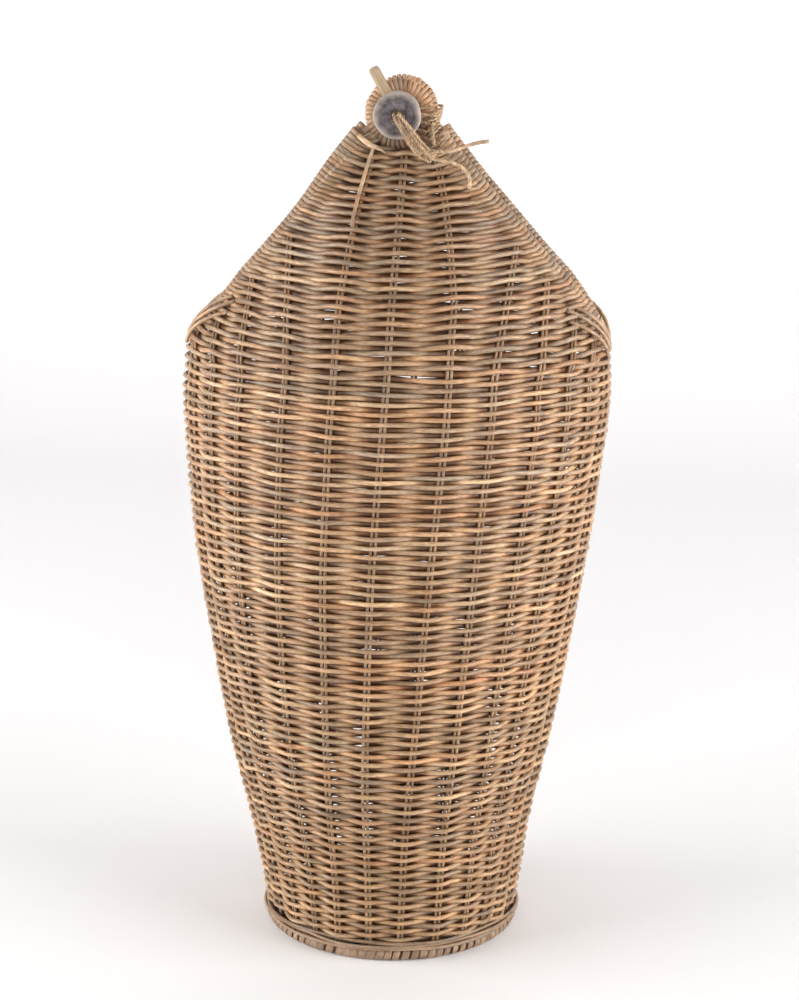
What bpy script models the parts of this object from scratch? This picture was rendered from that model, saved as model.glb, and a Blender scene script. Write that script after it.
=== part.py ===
"""Toilet roll basket woven from rattan.

A tall round-footed basket whose front and back walls rise as two gables. They lean in until their
wound rings meet, and a wooden peg in a loop of twine holds the rings together behind a button.
Metres, +Z up, front gable towards -Y. The origin is on the floor, under the middle of the foot hoop.
"""

from math import asin, ceil, cos, hypot, pi, radians, sin, sqrt

import bmesh
import bpy
import numpy as np

MM = 0.001

# Clearances
SEAT_GAP = 0.3 * MM
RIM_GAP = 1.35 * MM
RUNNING_GAP = 1.6 * MM
CUT_OVERRUN = 2.0 * MM
SLOT_DEPTH_OVERRUN = 5.0 * MM

# Body
SHOULDER_HEIGHT = 375.0 * MM
SHOULDER_HALF_WIDTH = 132.0 * MM
WALL_THICKNESS = 8.4 * MM
PROFILE_HEIGHT_SHARES = (0.0, 0.17, 0.35, 0.5, 0.67, 0.83, 0.92, 1.0)
PROFILE_WIDTH_SHARES = (0.606, 0.682, 0.795, 0.871, 0.947, 0.993, 1.011, 1.0)
DEPTH_HEIGHT_SHARES = (0.0, 0.35, 0.7, 1.0)
DEPTH_TO_WIDTH_SHARES = (1.0, 0.97, 0.90, 0.84)
LEVEL_HEIGHT_SHARES = (0.1, 0.24, 0.4, 0.56, 0.72, 0.86, 0.94)
WALL_BULGE = -2.5 * MM
BULGE_HEIGHT_SHARES = (0.0, 0.06, 0.25, 0.45, 0.7, 0.9, 1.0)
BULGE_SHARES = (0.0, 0.0, 0.8, 1.0, 1.0, 0.3, 0.0)

# Stakes
STAKE_COUNT = 26
STAKES_PER_SIDE = STAKE_COUNT // 2
STAKE_TWIST = radians(-7.0)
STAKE_ROD_RADIUS = 1.4 * MM
STAKE_CLOSING_SHARE = 0.28
STAKE_LEAST_RISE = 10.0 * MM
SLOT_GAP = 0.9 * MM

# Foot and base
HOOP_RADIUS = 77.5 * MM
HOOP_THICKNESS = 9.0 * MM
HOOP_SINK = 0.3 * MM
HOOP_SEGMENTS = 44
HOOP_SIDES = 10
BASE_THICKNESS = 6.0 * MM
BASE_STICK_RADIUS = 2.0 * MM
BASE_STICK_PITCH = 4.3 * MM
BASE_STICK_COUNT = 6
BASE_STICK_END_SPACE = 1.6 * MM

# Gables
RING_HEIGHT = 517.7 * MM
EDGE_RISE_SHARES = (0.0, 0.05, 0.21, 0.42, 0.6, 0.75, 1.0)
LEFT_EDGE_WIDTH_SHARES = (0.966, 0.936, 0.785, 0.583, 0.417, 0.294, 0.091)
RIGHT_EDGE_WIDTH_SHARES = (0.970, 0.950, 0.845, 0.634, 0.455, 0.300, 0.091)
MOUTH_HALF_GAP = 18.0 * MM
MOUTH_RISE_SHARES = (0.0, 0.1, 0.2, 0.3, 0.6, 1.0)
MOUTH_GAP_SHARES = (0.67, 0.75, 0.86, 0.97, 1.0, 0.90)
CROWN_RISE_SHARES = (0.0, 0.15, 0.35, 0.55, 0.7, 0.8, 0.84, 1.0)
CROWN_DEPTH_SHARES = (1.0, 0.90, 0.69, 0.44, 0.25, 0.148, 0.128, 0.128)
SECTION_BLEND_SHARE = 0.3
TURN_STEPS = 8
GABLE_COLUMNS = 14
GABLE_ROW_SHARES = (0.0, 0.08, 0.18, 0.32, 0.48, 0.64, 0.8, 0.91, 1.0)

# Rim rods
RIM_ROD_RADIUS = 3.2 * MM
RIM_FOOT_SHARE = 0.028
RIM_FOOT_SPACING = 7.8 * MM
RIM_SPREAD_SHARE = 0.2
RIM_STATIONS = 14
ROUND_SIDES = 8

# Rings
RING_MEAN_RADIUS = 18.9 * MM
RING_ROD_RADIUS = 2.0 * MM
RING_PLANE_DEPTH = 15.5 * MM
RING_SEGMENTS = 24
RING_TURNS = 24
RING_CANE_WIDTH = 3.3 * MM
CANE_THICKNESS = 1.1 * MM
POINTS_PER_TURN = 8

# Shoulder lashings
LASHING_TURNS = 4
LASHING_PITCH = 3.2 * MM
LASHING_CANE_WIDTH = 2.4 * MM
LASHING_START = 7.0 * MM

# Peg
PEG_RADIUS = 3.2 * MM
PEG_TILT = radians(60.0)
PEG_ABOVE = 31.0 * MM
PEG_BELOW = 27.0 * MM
PEG_CHAMFER = 0.5 * MM

# Button
BUTTON_RADIUS = 14.4 * MM
BUTTON_THICKNESS = 6.0 * MM
BUTTON_RIM_WIDTH = 3.0 * MM
BUTTON_DISH = 1.0 * MM
BUTTON_ROUND = 1.4 * MM
BUTTON_HOLE_RADIUS = 3.2 * MM
BUTTON_HOLE_EASE = 1.2 * MM
BUTTON_SEGMENTS = 26

# Twine
TWINE_RADIUS = 1.1 * MM
TWINE_STATION = 3.0 * MM
TWINE_LASHING_TURNS = 4
TWINE_LASHING_PITCH = 2.8 * MM
TWINE_LASHING_SPREAD = 1.6 * MM
TWINE_TURN_POINTS = 12
TWINE_SIDES = 6
KNOT_SCALE = 1.9 * MM
KNOT_POINTS = 30

# Derived sizes
HALF_WALL = WALL_THICKNESS / 2
FRONT, BACK = -1, 1
LEFT, RIGHT = -1, 1
GABLE_RISE = RING_HEIGHT - SHOULDER_HEIGHT
HOOP_HALF = HOOP_THICKNESS / 2
HOOP_TOP = HOOP_THICKNESS - HOOP_SINK
WALL_BOTTOM = HOOP_TOP + SEAT_GAP
STAKE_HALF_WIDTH = 2 * STAKE_ROD_RADIUS
BASE_BOTTOM = WALL_BOTTOM
BASE_TOP = BASE_BOTTOM + BASE_THICKNESS
TURN_SPREAD = cos(pi / POINTS_PER_TURN)
RING_CANE_RADIUS = (RING_ROD_RADIUS + SEAT_GAP + CANE_THICKNESS / 2) / TURN_SPREAD
RING_WOUND_RADIUS = RING_CANE_RADIUS + CANE_THICKNESS / 2
RING_REACH = RING_MEAN_RADIUS + RING_WOUND_RADIUS
RING_FACE_DEPTH = RING_PLANE_DEPTH + RING_WOUND_RADIUS
PEG_DEPTH = RING_FACE_DEPTH + SEAT_GAP + PEG_RADIUS
BUTTON_BACK_DEPTH = PEG_DEPTH + PEG_RADIUS + RUNNING_GAP


def clear_scene():
    """Remove whatever the file holds."""
    for item in list(bpy.data.objects):
        bpy.data.objects.remove(item, do_unlink=True)


def make_material(name, colour, roughness):
    """A plain Principled material."""
    material = bpy.data.materials.new(name)
    material.use_nodes = True
    shader = material.node_tree.nodes["Principled BSDF"]
    shader.inputs["Base Color"].default_value = (*colour, 1.0)
    shader.inputs["Roughness"].default_value = roughness
    shader.inputs["Metallic"].default_value = 0.0
    material.diffuse_color = (*colour, 1.0)
    return material


def add_object(name, mesh, material, location=(0.0, 0.0, 0.0)):
    """Put a mesh in the scene under a node's name."""
    item = bpy.data.objects.new(name, mesh)
    bpy.context.collection.objects.link(item)
    mesh.materials.append(material)
    item.location = location
    return item


def mesh_from_bmesh(name, shape, smooth_angle=radians(40.0)):
    """Turn a closed bmesh into a mesh with outward faces and smooth rounds."""
    bmesh.ops.recalc_face_normals(shape, faces=shape.faces)
    mesh = bpy.data.meshes.new(name)
    shape.to_mesh(mesh)
    shape.free()
    mesh.shade_smooth()
    mesh.set_sharp_from_angle(angle=smooth_angle)
    return mesh


def loft(name, rings, closed=False):
    """Skin a list of equal rings of points, with flat ends, or join the last ring to the first."""
    shape = bmesh.new()
    rows = [[shape.verts.new(tuple(point)) for point in ring] for ring in rings]
    count = len(rings[0])
    pairs = list(zip(rows, rows[1:]))
    if closed:
        pairs.append((rows[-1], rows[0]))
    for low, high in pairs:
        for i in range(count):
            j = (i + 1) % count
            shape.faces.new((low[i], low[j], high[j], high[i]))
    if not closed:
        shape.faces.new(rows[0])
        shape.faces.new(rows[-1])
        ends = [face for face in shape.faces if len(face.verts) > 4]
        bmesh.ops.triangulate(shape, faces=ends)
    return mesh_from_bmesh(name, shape)


def smooth_value(x, xs, ys):
    """Value of a smooth curve through the points (xs, ys)."""
    xs = np.asarray(xs, dtype=float)
    ys = np.asarray(ys, dtype=float)
    slopes = np.gradient(ys, xs)
    i = int(np.clip(np.searchsorted(xs, x) - 1, 0, len(xs) - 2))
    span = xs[i + 1] - xs[i]
    t = float(np.clip((x - xs[i]) / span, 0.0, 1.0))
    start = (1 + 2 * t) * (1 - t) ** 2 * ys[i] + t * (1 - t) ** 2 * span * slopes[i]
    finish = t * t * (3 - 2 * t) * ys[i + 1] + t * t * (t - 1) * span * slopes[i + 1]
    return start + finish


def smooth_route(points, spacing):
    """Even points along a smooth curve through a route's own points."""
    points = np.asarray(points, dtype=float)
    knots = np.concatenate(([0.0], np.cumsum(np.linalg.norm(np.diff(points, axis=0), axis=1))))
    fine = np.linspace(0.0, knots[-1], 20 * len(points))
    dense = np.array([[smooth_value(x, knots, points[:, axis]) for axis in range(3)] for x in fine])
    run = np.concatenate(([0.0], np.cumsum(np.linalg.norm(np.diff(dense, axis=0), axis=1))))
    stations = np.linspace(0.0, run[-1], int(ceil(run[-1] / spacing)) + 1)
    return np.array([[np.interp(s, run, dense[:, axis]) for axis in range(3)] for s in stations])


def unit(vector):
    """A vector of length one along the given one."""
    return np.asarray(vector) / np.linalg.norm(vector)


def sweep(name, centres, normals, section, closed=False):
    """Carry a section along a path. Its points are (across the path, along the normal)."""
    centres = np.asarray(centres)
    if closed:
        ahead = np.roll(centres, -1, axis=0) - np.roll(centres, 1, axis=0)
    else:
        ahead = np.gradient(centres, axis=0)
    rings = []
    for centre, direction, normal in zip(centres, ahead, normals):
        along = unit(direction)
        up = unit(normal - np.dot(normal, along) * along)
        across = np.cross(along, up)
        rings.append([centre + u * across + v * up for u, v in section])
    return loft(name, rings, closed)


def round_section(radius, sides):
    """Points of a regular polygon round a rod."""
    return [(radius * cos(2 * pi * i / sides), radius * sin(2 * pi * i / sides)) for i in range(sides)]


def flat_section(width, thickness):
    """Points of a strip of split cane."""
    u, v = width / 2, thickness / 2
    return [(-u, -v), (u, -v), (u, v), (-u, v)]


def twin_rod_section(radius):
    """Points round two rods that lie side by side and touch."""
    return [(2 * radius, 0.0), (radius, radius), (-radius, radius),
            (-2 * radius, 0.0), (-radius, -radius), (radius, -radius)]


def least_gap(points, per_turn, width):
    """Least clear distance between a winding's turns, measured on the points of its path."""
    points = np.asarray(points)
    steps = len(points)
    least = min(
        np.linalg.norm(points[i] - points[j])
        for i in range(steps)
        for j in range(i + per_turn * 3 // 4, steps)
    )
    return least - width


# Shape of the woven body

def outer_half_width(z):
    """Half the body's width at a height, to the outside of the weave."""
    share = smooth_value(z / SHOULDER_HEIGHT, PROFILE_HEIGHT_SHARES, PROFILE_WIDTH_SHARES)
    return SHOULDER_HALF_WIDTH * share


def outer_half_depth(z):
    """Half the body's depth at a height: round at the foot, flatter towards the shoulder."""
    share = smooth_value(z / SHOULDER_HEIGHT, DEPTH_HEIGHT_SHARES, DEPTH_TO_WIDTH_SHARES)
    return outer_half_width(z) * share


def wall_shift(z):
    """How far the wall stands to the right of the foot's middle. It bulges to the left."""
    return WALL_BULGE * smooth_value(z / SHOULDER_HEIGHT, BULGE_HEIGHT_SHARES, BULGE_SHARES)


def body_point(angle, z, inward):
    """A point of the body wall, counted from the front, some way in from its outer face."""
    across = outer_half_width(z) - inward
    deep = outer_half_depth(z) - inward
    return np.array((wall_shift(z) + across * sin(angle), -deep * cos(angle), z))


def stake_angle(number, z):
    """Where a stake stands round the body. The stakes lean a little, so the angle drifts."""
    pitch = 2 * pi / STAKE_COUNT
    return number * pitch + STAKE_TWIST * (1 - z / SHOULDER_HEIGHT)


def body_levels():
    """Heights at which the body's sections are drawn."""
    inner = [share * SHOULDER_HEIGHT for share in LEVEL_HEIGHT_SHARES]
    return [WALL_BOTTOM, *inner, SHOULDER_HEIGHT]


def body_section(z):
    """Outline of the wall at one height: the outer face, and the inner face with a groove a stake.

    The grooves are wider at the shoulder, where the stakes bend into the gables.
    """
    half_pitch = pi / STAKE_COUNT
    gap = SLOT_GAP if z >= SHOULDER_HEIGHT else SEAT_GAP
    floor = HALF_WALL - STAKE_ROD_RADIUS - gap
    outer, inner = [], []
    for number in range(STAKE_COUNT):
        middle = stake_angle(number, z)
        wide = (outer_half_width(z) - HALF_WALL) * cos(middle)
        deep = (outer_half_depth(z) - HALF_WALL) * sin(middle)
        half = (STAKE_HALF_WIDTH + gap) / hypot(wide, deep)
        outer += [body_point(middle, z, 0.0), body_point(middle + half_pitch, z, 0.0)]
        inner += [
            body_point(middle - half, z, WALL_THICKNESS),
            body_point(middle - half, z, floor),
            body_point(middle + half, z, floor),
            body_point(middle + half, z, WALL_THICKNESS),
        ]
    return outer, inner


def body_mesh():
    """The woven wall as one shell, open at the top and the foot."""
    shape = bmesh.new()
    outers, inners = [], []
    for z in body_levels():
        outer, inner = body_section(z)
        outers.append([shape.verts.new(tuple(p)) for p in outer])
        inners.append([shape.verts.new(tuple(p)) for p in inner])
    for skin in (outers, inners):
        count = len(skin[0])
        for low, high in zip(skin, skin[1:]):
            for i in range(count):
                j = (i + 1) % count
                shape.faces.new((low[i], low[j], high[j], high[i]))
    for outer, inner in ((outers[0], inners[0]), (outers[-1], inners[-1])):
        for number in range(STAKE_COUNT):
            a, b = 2 * number, 4 * number
            before_a, after_b = (a - 1) % len(outer), (b + 4) % len(inner)
            shape.faces.new((outer[before_a], outer[a], inner[b + 1]))
            shape.faces.new((outer[before_a], inner[b + 1], inner[b]))
            shape.faces.new((outer[a], inner[b + 2], inner[b + 1]))
            shape.faces.new((outer[a], outer[a + 1], inner[b + 2]))
            shape.faces.new((outer[a + 1], inner[b + 3], inner[b + 2]))
            shape.faces.new((outer[a + 1], inner[after_b], inner[b + 3]))
    bmesh.ops.triangulate(shape, faces=shape.faces, quad_method="SHORT_EDGE")
    return mesh_from_bmesh("body_weave", shape)


# Shape of the gables

def rise_share(z):
    """How far a height lies up the gable, from the shoulder to the ring's middle."""
    return (z - SHOULDER_HEIGHT) / GABLE_RISE


def edge_widths(share):
    """Distances of a gable's left and right edges from the middle plane."""
    left = smooth_value(share, EDGE_RISE_SHARES, LEFT_EDGE_WIDTH_SHARES)
    right = smooth_value(share, EDGE_RISE_SHARES, RIGHT_EDGE_WIDTH_SHARES)
    return SHOULDER_HALF_WIDTH * left, SHOULDER_HALF_WIDTH * right


def gable_point(side, turn, z):
    """A point on the middle of a gable's weave. The turn runs from -90 to +90 degrees edge to edge."""
    share = max(rise_share(z), 0.0)
    left, right = edge_widths(share)
    across = sin(turn)
    width = (left * (1 - across) + right * (1 + across)) / 2
    edge = MOUTH_HALF_GAP * smooth_value(share, MOUTH_RISE_SHARES, MOUTH_GAP_SHARES)
    shoulder_depth = outer_half_depth(SHOULDER_HEIGHT) - HALF_WALL
    crown = shoulder_depth * smooth_value(share, CROWN_RISE_SHARES, CROWN_DEPTH_SHARES)
    power = 1 + min(share / SECTION_BLEND_SHARE, 1.0)
    depth = edge + (crown - edge) * max(cos(turn), 0.0) ** power
    return np.array((width * across, side * depth, z))


def gable_normal(side, turn, z):
    """The direction that points out of a gable's weave."""
    step = radians(3.0)
    lift = GABLE_RISE / 100
    low, high = max(turn - step, -pi / 2), min(turn + step, pi / 2)
    across = gable_point(side, high, z) - gable_point(side, low, z)
    up = gable_point(side, turn, z + lift) - gable_point(side, turn, z - lift)
    return unit(np.cross(across, up)) * (1 if side == FRONT else -1)


def turn_at(x, z):
    """The turn at which a gable has a given distance from the middle plane."""
    left, right = edge_widths(rise_share(z))
    mean, lean = (right + left) / 2, (right - left) / 2
    across = x / mean
    for _ in range(TURN_STEPS):
        across = x / (mean + lean * across)
    return asin(float(np.clip(across, -1.0, 1.0)))


def gable_top(turn):
    """Height at which the weave stops under the ring, along one line of the same turn."""
    low, high = SHOULDER_HEIGHT, RING_HEIGHT
    for _ in range(40):
        z = (low + high) / 2
        x = gable_point(FRONT, turn, z)[0]
        if hypot(x, RING_HEIGHT - z) > RING_REACH + RIM_GAP:
            low = z
        else:
            high = z
    return low


def gable_mesh(name, side):
    """A curved sheet of weave with its true thickness."""
    shape = bmesh.new()
    bottom = SHOULDER_HEIGHT + SEAT_GAP
    skins = {}
    for layer in (-1, 1):
        for column in range(GABLE_COLUMNS + 1):
            turn = -pi / 2 + pi * column / GABLE_COLUMNS
            top = gable_top(turn)
            for row, share in enumerate(GABLE_ROW_SHARES):
                z = bottom + share * (top - bottom)
                middle = gable_point(side, turn, z)
                normal = gable_normal(side, turn, z)
                if row == 0:
                    normal = unit(normal * (1.0, 1.0, 0.0))
                point = middle + layer * HALF_WALL * normal
                skins[layer, column, row] = shape.verts.new(tuple(point))
    last_row = len(GABLE_ROW_SHARES) - 1
    for layer in (-1, 1):
        for column in range(GABLE_COLUMNS):
            for row in range(last_row):
                corners = ((column, row), (column + 1, row), (column + 1, row + 1), (column, row + 1))
                shape.faces.new([skins[layer, c, r] for c, r in corners])
    for column in range(GABLE_COLUMNS):
        for row in (0, last_row):
            shape.faces.new((skins[-1, column, row], skins[-1, column + 1, row],
                             skins[1, column + 1, row], skins[1, column, row]))
    for row in range(last_row):
        for column in (0, GABLE_COLUMNS):
            shape.faces.new((skins[-1, column, row], skins[-1, column, row + 1],
                             skins[1, column, row + 1], skins[1, column, row]))
    bmesh.ops.triangulate(shape, faces=shape.faces)
    return mesh_from_bmesh(name, shape)


# Stakes

def stake_side_and_place(number):
    """Which gable a stake belongs to, and its place left or right of the middle."""
    half = STAKES_PER_SIDE // 2
    if number <= half:
        return FRONT, number
    if number >= STAKE_COUNT - half:
        return FRONT, number - STAKE_COUNT
    return BACK, STAKES_PER_SIDE - number


def stake_x(number, z):
    """Distance of a stake from the middle plane, up in its gable."""
    side, place = stake_side_and_place(number)
    start = body_point(stake_angle(number, SHOULDER_HEIGHT), SHOULDER_HEIGHT, HALF_WALL)[0]
    closing = STAKE_CLOSING_SHARE * rise_share(z) if abs(place) == 1 else 0.0
    return start * (1 - closing)


def stake_top(number):
    """Height at which a stake ends, just inside the weave's edge or under the ring."""
    low, high = SHOULDER_HEIGHT, RING_HEIGHT
    for _ in range(40):
        z = (low + high) / 2
        x = stake_x(number, z)
        reach = abs(x) + STAKE_HALF_WIDTH + SLOT_GAP
        left, right = edge_widths(rise_share(z))
        edge = right if x > 0 else left
        near_ring = hypot(reach, RING_HEIGHT - z) < RING_REACH + RIM_GAP
        near_middle = RING_HEIGHT - z < RING_REACH + RIM_GAP and reach < RING_REACH
        if reach < edge and not near_ring and not near_middle:
            low = z
        else:
            high = z
    return low if low - SHOULDER_HEIGHT > STAKE_LEAST_RISE else SHOULDER_HEIGHT


def stake_path(number, top, below=WALL_BOTTOM):
    """Centres and outward directions along a stake, up the body and into its gable."""
    side, _ = stake_side_and_place(number)
    centres, normals = [], []
    for z in body_levels():
        if z >= below:
            centre = body_point(stake_angle(number, z), z, HALF_WALL)
            centres.append(centre)
            normals.append(centre - body_point(stake_angle(number, z), z, WALL_THICKNESS))
    rises = [share * GABLE_RISE for share in GABLE_ROW_SHARES[1:]]
    heights = [SHOULDER_HEIGHT + rise for rise in rises if SHOULDER_HEIGHT + rise < top - CUT_OVERRUN]
    if top > SHOULDER_HEIGHT + CUT_OVERRUN:
        heights.append(top)
    for z in heights:
        turn = turn_at(stake_x(number, z), z)
        centres.append(gable_point(side, turn, z))
        normals.append(gable_normal(side, turn, z))
    return centres, normals


def stake_mesh(name, number):
    """Two rods side by side, in the weave from the foot hoop to the rim."""
    centres, normals = stake_path(number, stake_top(number))
    return sweep(name, centres, normals, twin_rod_section(STAKE_ROD_RADIUS))


def cut_stake_slots(gable, side):
    """Cut a slot in the inside of a gable's weave for each stake that runs up into it."""
    floor = STAKE_ROD_RADIUS + SLOT_GAP
    half = STAKE_HALF_WIDTH + SLOT_GAP
    open_side = HALF_WALL + SLOT_DEPTH_OVERRUN
    section = [(-half, -open_side), (half, -open_side), (half, floor), (-half, floor)]
    start = body_levels()[-2]
    for number in range(STAKE_COUNT):
        own_side, _ = stake_side_and_place(number)
        top = stake_top(number)
        if own_side != side or top < SHOULDER_HEIGHT + CUT_OVERRUN:
            continue
        centres, normals = stake_path(number, top, below=start)
        end = centres[-1] + unit(centres[-1] - centres[-2]) * CUT_OVERRUN
        slot = sweep(f"slot_cutter_{number:02d}", [*centres, end], [*normals, normals[-1]], section)
        cutter = bpy.data.objects.new(f"slot_cutter_{number:02d}", slot)
        bpy.context.collection.objects.link(cutter)
        cutter.hide_render = True
        cutter.display_type = "WIRE"
        cut = gable.modifiers.new(f"slot_{number:02d}", "BOOLEAN")
        cut.operation = "DIFFERENCE"
        cut.solver = "EXACT"
        cut.object = cutter


# Foot and base

def hoop_mesh():
    """The foot hoop: a round section flattened where it stands on the floor."""
    rings = []
    for step in range(HOOP_SEGMENTS):
        angle = 2 * pi * step / HOOP_SEGMENTS
        ring = []
        for corner in range(HOOP_SIDES):
            round_angle = 2 * pi * (corner + 0.5) / HOOP_SIDES
            radius = HOOP_RADIUS + HOOP_HALF * sin(round_angle)
            height = HOOP_HALF - HOOP_SINK + HOOP_HALF * cos(round_angle) / cos(pi / HOOP_SIDES)
            ring.append((radius * cos(angle), radius * sin(angle), min(max(height, 0.0), HOOP_TOP)))
        rings.append(ring)
    return loft("base_hoop", rings, closed=True)


def base_mesh():
    """The woven base as a flat disc inside the wall."""
    radius = outer_half_depth(WALL_BOTTOM) - WALL_THICKNESS - 2 * SEAT_GAP
    rings = []
    for z in (0.0, BASE_THICKNESS):
        rings.append([
            (radius * cos(2 * pi * i / HOOP_SEGMENTS), radius * sin(2 * pi * i / HOOP_SEGMENTS), z)
            for i in range(HOOP_SEGMENTS)
        ])
    return loft("base_weave", rings)


def stick_mat_mesh(name, half_length):
    """Base sticks side by side, each a half round above and below."""
    bumps = ((-0.5, 0.55), (-0.25, 0.95), (0.25, 0.95))
    upper = []
    for stick in range(BASE_STICK_COUNT):
        middle = (stick - (BASE_STICK_COUNT - 1) / 2) * BASE_STICK_PITCH
        upper += [(middle + share * BASE_STICK_PITCH, level * BASE_STICK_RADIUS) for share, level in bumps]
    upper.append((BASE_STICK_COUNT / 2 * BASE_STICK_PITCH, bumps[0][1] * BASE_STICK_RADIUS))
    lower = [(u, -v) for u, v in reversed(upper)]
    outline = upper + lower
    return loft(name, [[(x, u, v) for u, v in outline] for x in (-half_length, half_length)])


def add_base(rattan):
    """Foot hoop, base disc and the two layers of crossing base sticks."""
    add_object("base_hoop", hoop_mesh(), rattan)
    add_object("base_weave", base_mesh(), rattan, (0.0, 0.0, BASE_BOTTOM))
    mat_half_width = BASE_STICK_COUNT * BASE_STICK_PITCH / 2
    hoop_inside = HOOP_RADIUS - HOOP_HALF
    length_below = sqrt(hoop_inside ** 2 - mat_half_width ** 2) - BASE_STICK_END_SPACE
    below = (0.0, 0.0, BASE_BOTTOM - SEAT_GAP - BASE_STICK_RADIUS)
    add_object("base_cross_lower", stick_mat_mesh("base_cross_lower", length_below), rattan, below)
    wall_inside = outer_half_width(BASE_TOP) - WALL_THICKNESS
    length_above = sqrt(wall_inside ** 2 - mat_half_width ** 2) - BASE_STICK_END_SPACE
    above = (0.0, 0.0, BASE_TOP + SEAT_GAP + BASE_STICK_RADIUS)
    upper = add_object("base_cross_upper", stick_mat_mesh("base_cross_upper", length_above), rattan, above)
    upper.rotation_euler = (0.0, 0.0, pi / 2)


# Rims and shoulder lashings

def rim_path(side, hand):
    """Centres of a rim rod, from the shoulder corner up the slope to the ring."""
    turn = hand * pi / 2
    foot = SHOULDER_HEIGHT + RIM_FOOT_SHARE * GABLE_RISE
    offset = RIM_ROD_RADIUS + RIM_GAP
    lift = GABLE_RISE / 100
    centres = []
    for share in np.linspace(0.0, 1.0, 4 * RIM_STATIONS):
        z = foot + share * (RING_HEIGHT - foot)
        edge = gable_point(side, turn, z)
        along = unit(gable_point(side, turn, z + lift) - gable_point(side, turn, z - lift))
        away = -side * hand * np.cross(along, gable_normal(side, turn, z))
        centre = edge + offset * away
        spread = min(rise_share(z) / RIM_SPREAD_SHARE, 1.0)
        spread = spread * spread * (3 - 2 * spread)
        centre[1] = side * (RIM_FOOT_SPACING / 2 + spread * (abs(centre[1]) - RIM_FOOT_SPACING / 2))
        if hypot(centre[0], RING_HEIGHT - centre[2]) < RING_REACH + RIM_ROD_RADIUS + RIM_GAP:
            break
        centres.append(centre)
    count = len(centres)
    picks = np.linspace(0, count - 1, RIM_STATIONS).round().astype(int)
    return [centres[i] for i in picks]


def add_rims(rattan):
    """Four rim rods, one along each slope of each gable."""
    for side, side_name in ((FRONT, "front"), (BACK, "back")):
        for hand, hand_name in ((LEFT, "left"), (RIGHT, "right")):
            centres = rim_path(side, hand)
            normals = [(0.0, side, 0.0)] * len(centres)
            name = f"{side_name}_rim_{hand_name}"
            section = round_section(RIM_ROD_RADIUS, ROUND_SIDES)
            add_object(name, sweep(name, centres, np.array(normals, dtype=float), section), rattan)


def shoulder_lashing_mesh(name, hand):
    """Cane wound round the lower ends of the front and back rim rods."""
    rods = {side: np.array(rim_path(side, hand)) for side in (FRONT, BACK)}
    middle = (rods[FRONT] + rods[BACK]) / 2
    run = np.concatenate(([0.0], np.cumsum(np.linalg.norm(np.diff(middle, axis=0), axis=1))))
    turn_angles = [radians(a) for a in (-90.0, -45.0, 0.0, 45.0, 90.0)]
    corners = [(FRONT, angle) for angle in turn_angles] + [(BACK, angle) for angle in turn_angles]
    radius = (RIM_ROD_RADIUS + SEAT_GAP + CANE_THICKNESS / 2) / cos(radians(22.5))
    centres, normals = [], []
    steps = LASHING_TURNS * len(corners)
    for step in range(steps + 1):
        side, angle = corners[step % len(corners)]
        place = LASHING_START + LASHING_PITCH * step / len(corners)
        centre = np.array([np.interp(place, run, middle[:, axis]) for axis in range(3)])
        ahead = np.array([np.interp(place + LASHING_PITCH, run, middle[:, axis]) for axis in range(3)])
        along = unit(ahead - centre)
        outward = np.array((0.0, 1.0, 0.0))
        up = unit(np.cross(outward, along)) * hand
        spread = abs(np.interp(place, run, rods[FRONT][:, 1]))
        normal = side * cos(angle) * outward + side * sin(angle) * up * -1
        centres.append(centre + side * spread * outward + radius * normal)
        normals.append(normal)
    gap = least_gap(centres, len(corners), LASHING_CANE_WIDTH)
    print(f"{name}: least gap between turns {gap / MM:.2f} mm")
    return sweep(name, centres, normals, flat_section(LASHING_CANE_WIDTH, CANE_THICKNESS))


# Rings

def ring_mesh(name):
    """The bare rod of a ring, bent into a full hoop, in its own frame."""
    centres, normals = [], []
    for step in range(RING_SEGMENTS):
        angle = 2 * pi * step / RING_SEGMENTS
        radial = np.array((cos(angle), 0.0, sin(angle)))
        centres.append(RING_MEAN_RADIUS * radial)
        normals.append(radial)
    return sweep(name, centres, normals, round_section(RING_ROD_RADIUS, ROUND_SIDES), closed=True)


def ring_binding_mesh(name):
    """One strip of cane wound all round the ring, from its lowest point and back to it."""
    centres, normals = [], []
    steps = RING_TURNS * POINTS_PER_TURN
    travel = 2 * pi * (RING_TURNS - 1) / RING_TURNS
    for step in range(steps - POINTS_PER_TURN // 2 + 1):
        angle = -pi / 2 + travel * (step - (steps - POINTS_PER_TURN // 2) / 2) / steps + pi
        winding = 2 * pi * step / POINTS_PER_TURN
        radial = np.array((cos(angle), 0.0, sin(angle)))
        normal = cos(winding) * radial + sin(winding) * np.array((0.0, 1.0, 0.0))
        centres.append(RING_MEAN_RADIUS * radial + RING_CANE_RADIUS * normal)
        normals.append(normal)
    gap = least_gap(centres, POINTS_PER_TURN, RING_CANE_WIDTH)
    print(f"{name}: least gap between turns {gap / MM:.2f} mm")
    return sweep(name, centres, normals, flat_section(RING_CANE_WIDTH, CANE_THICKNESS))


def add_rings(rattan, cane):
    """A wound ring at the top of each gable."""
    for side, side_name in ((FRONT, "front"), (BACK, "back")):
        place = (0.0, side * RING_PLANE_DEPTH, RING_HEIGHT)
        add_object(f"{side_name}_ring", ring_mesh(f"{side_name}_ring"), rattan, place)
        name = f"{side_name}_ring_binding"
        add_object(name, ring_binding_mesh(name), cane, place)


# Peg and button

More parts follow.
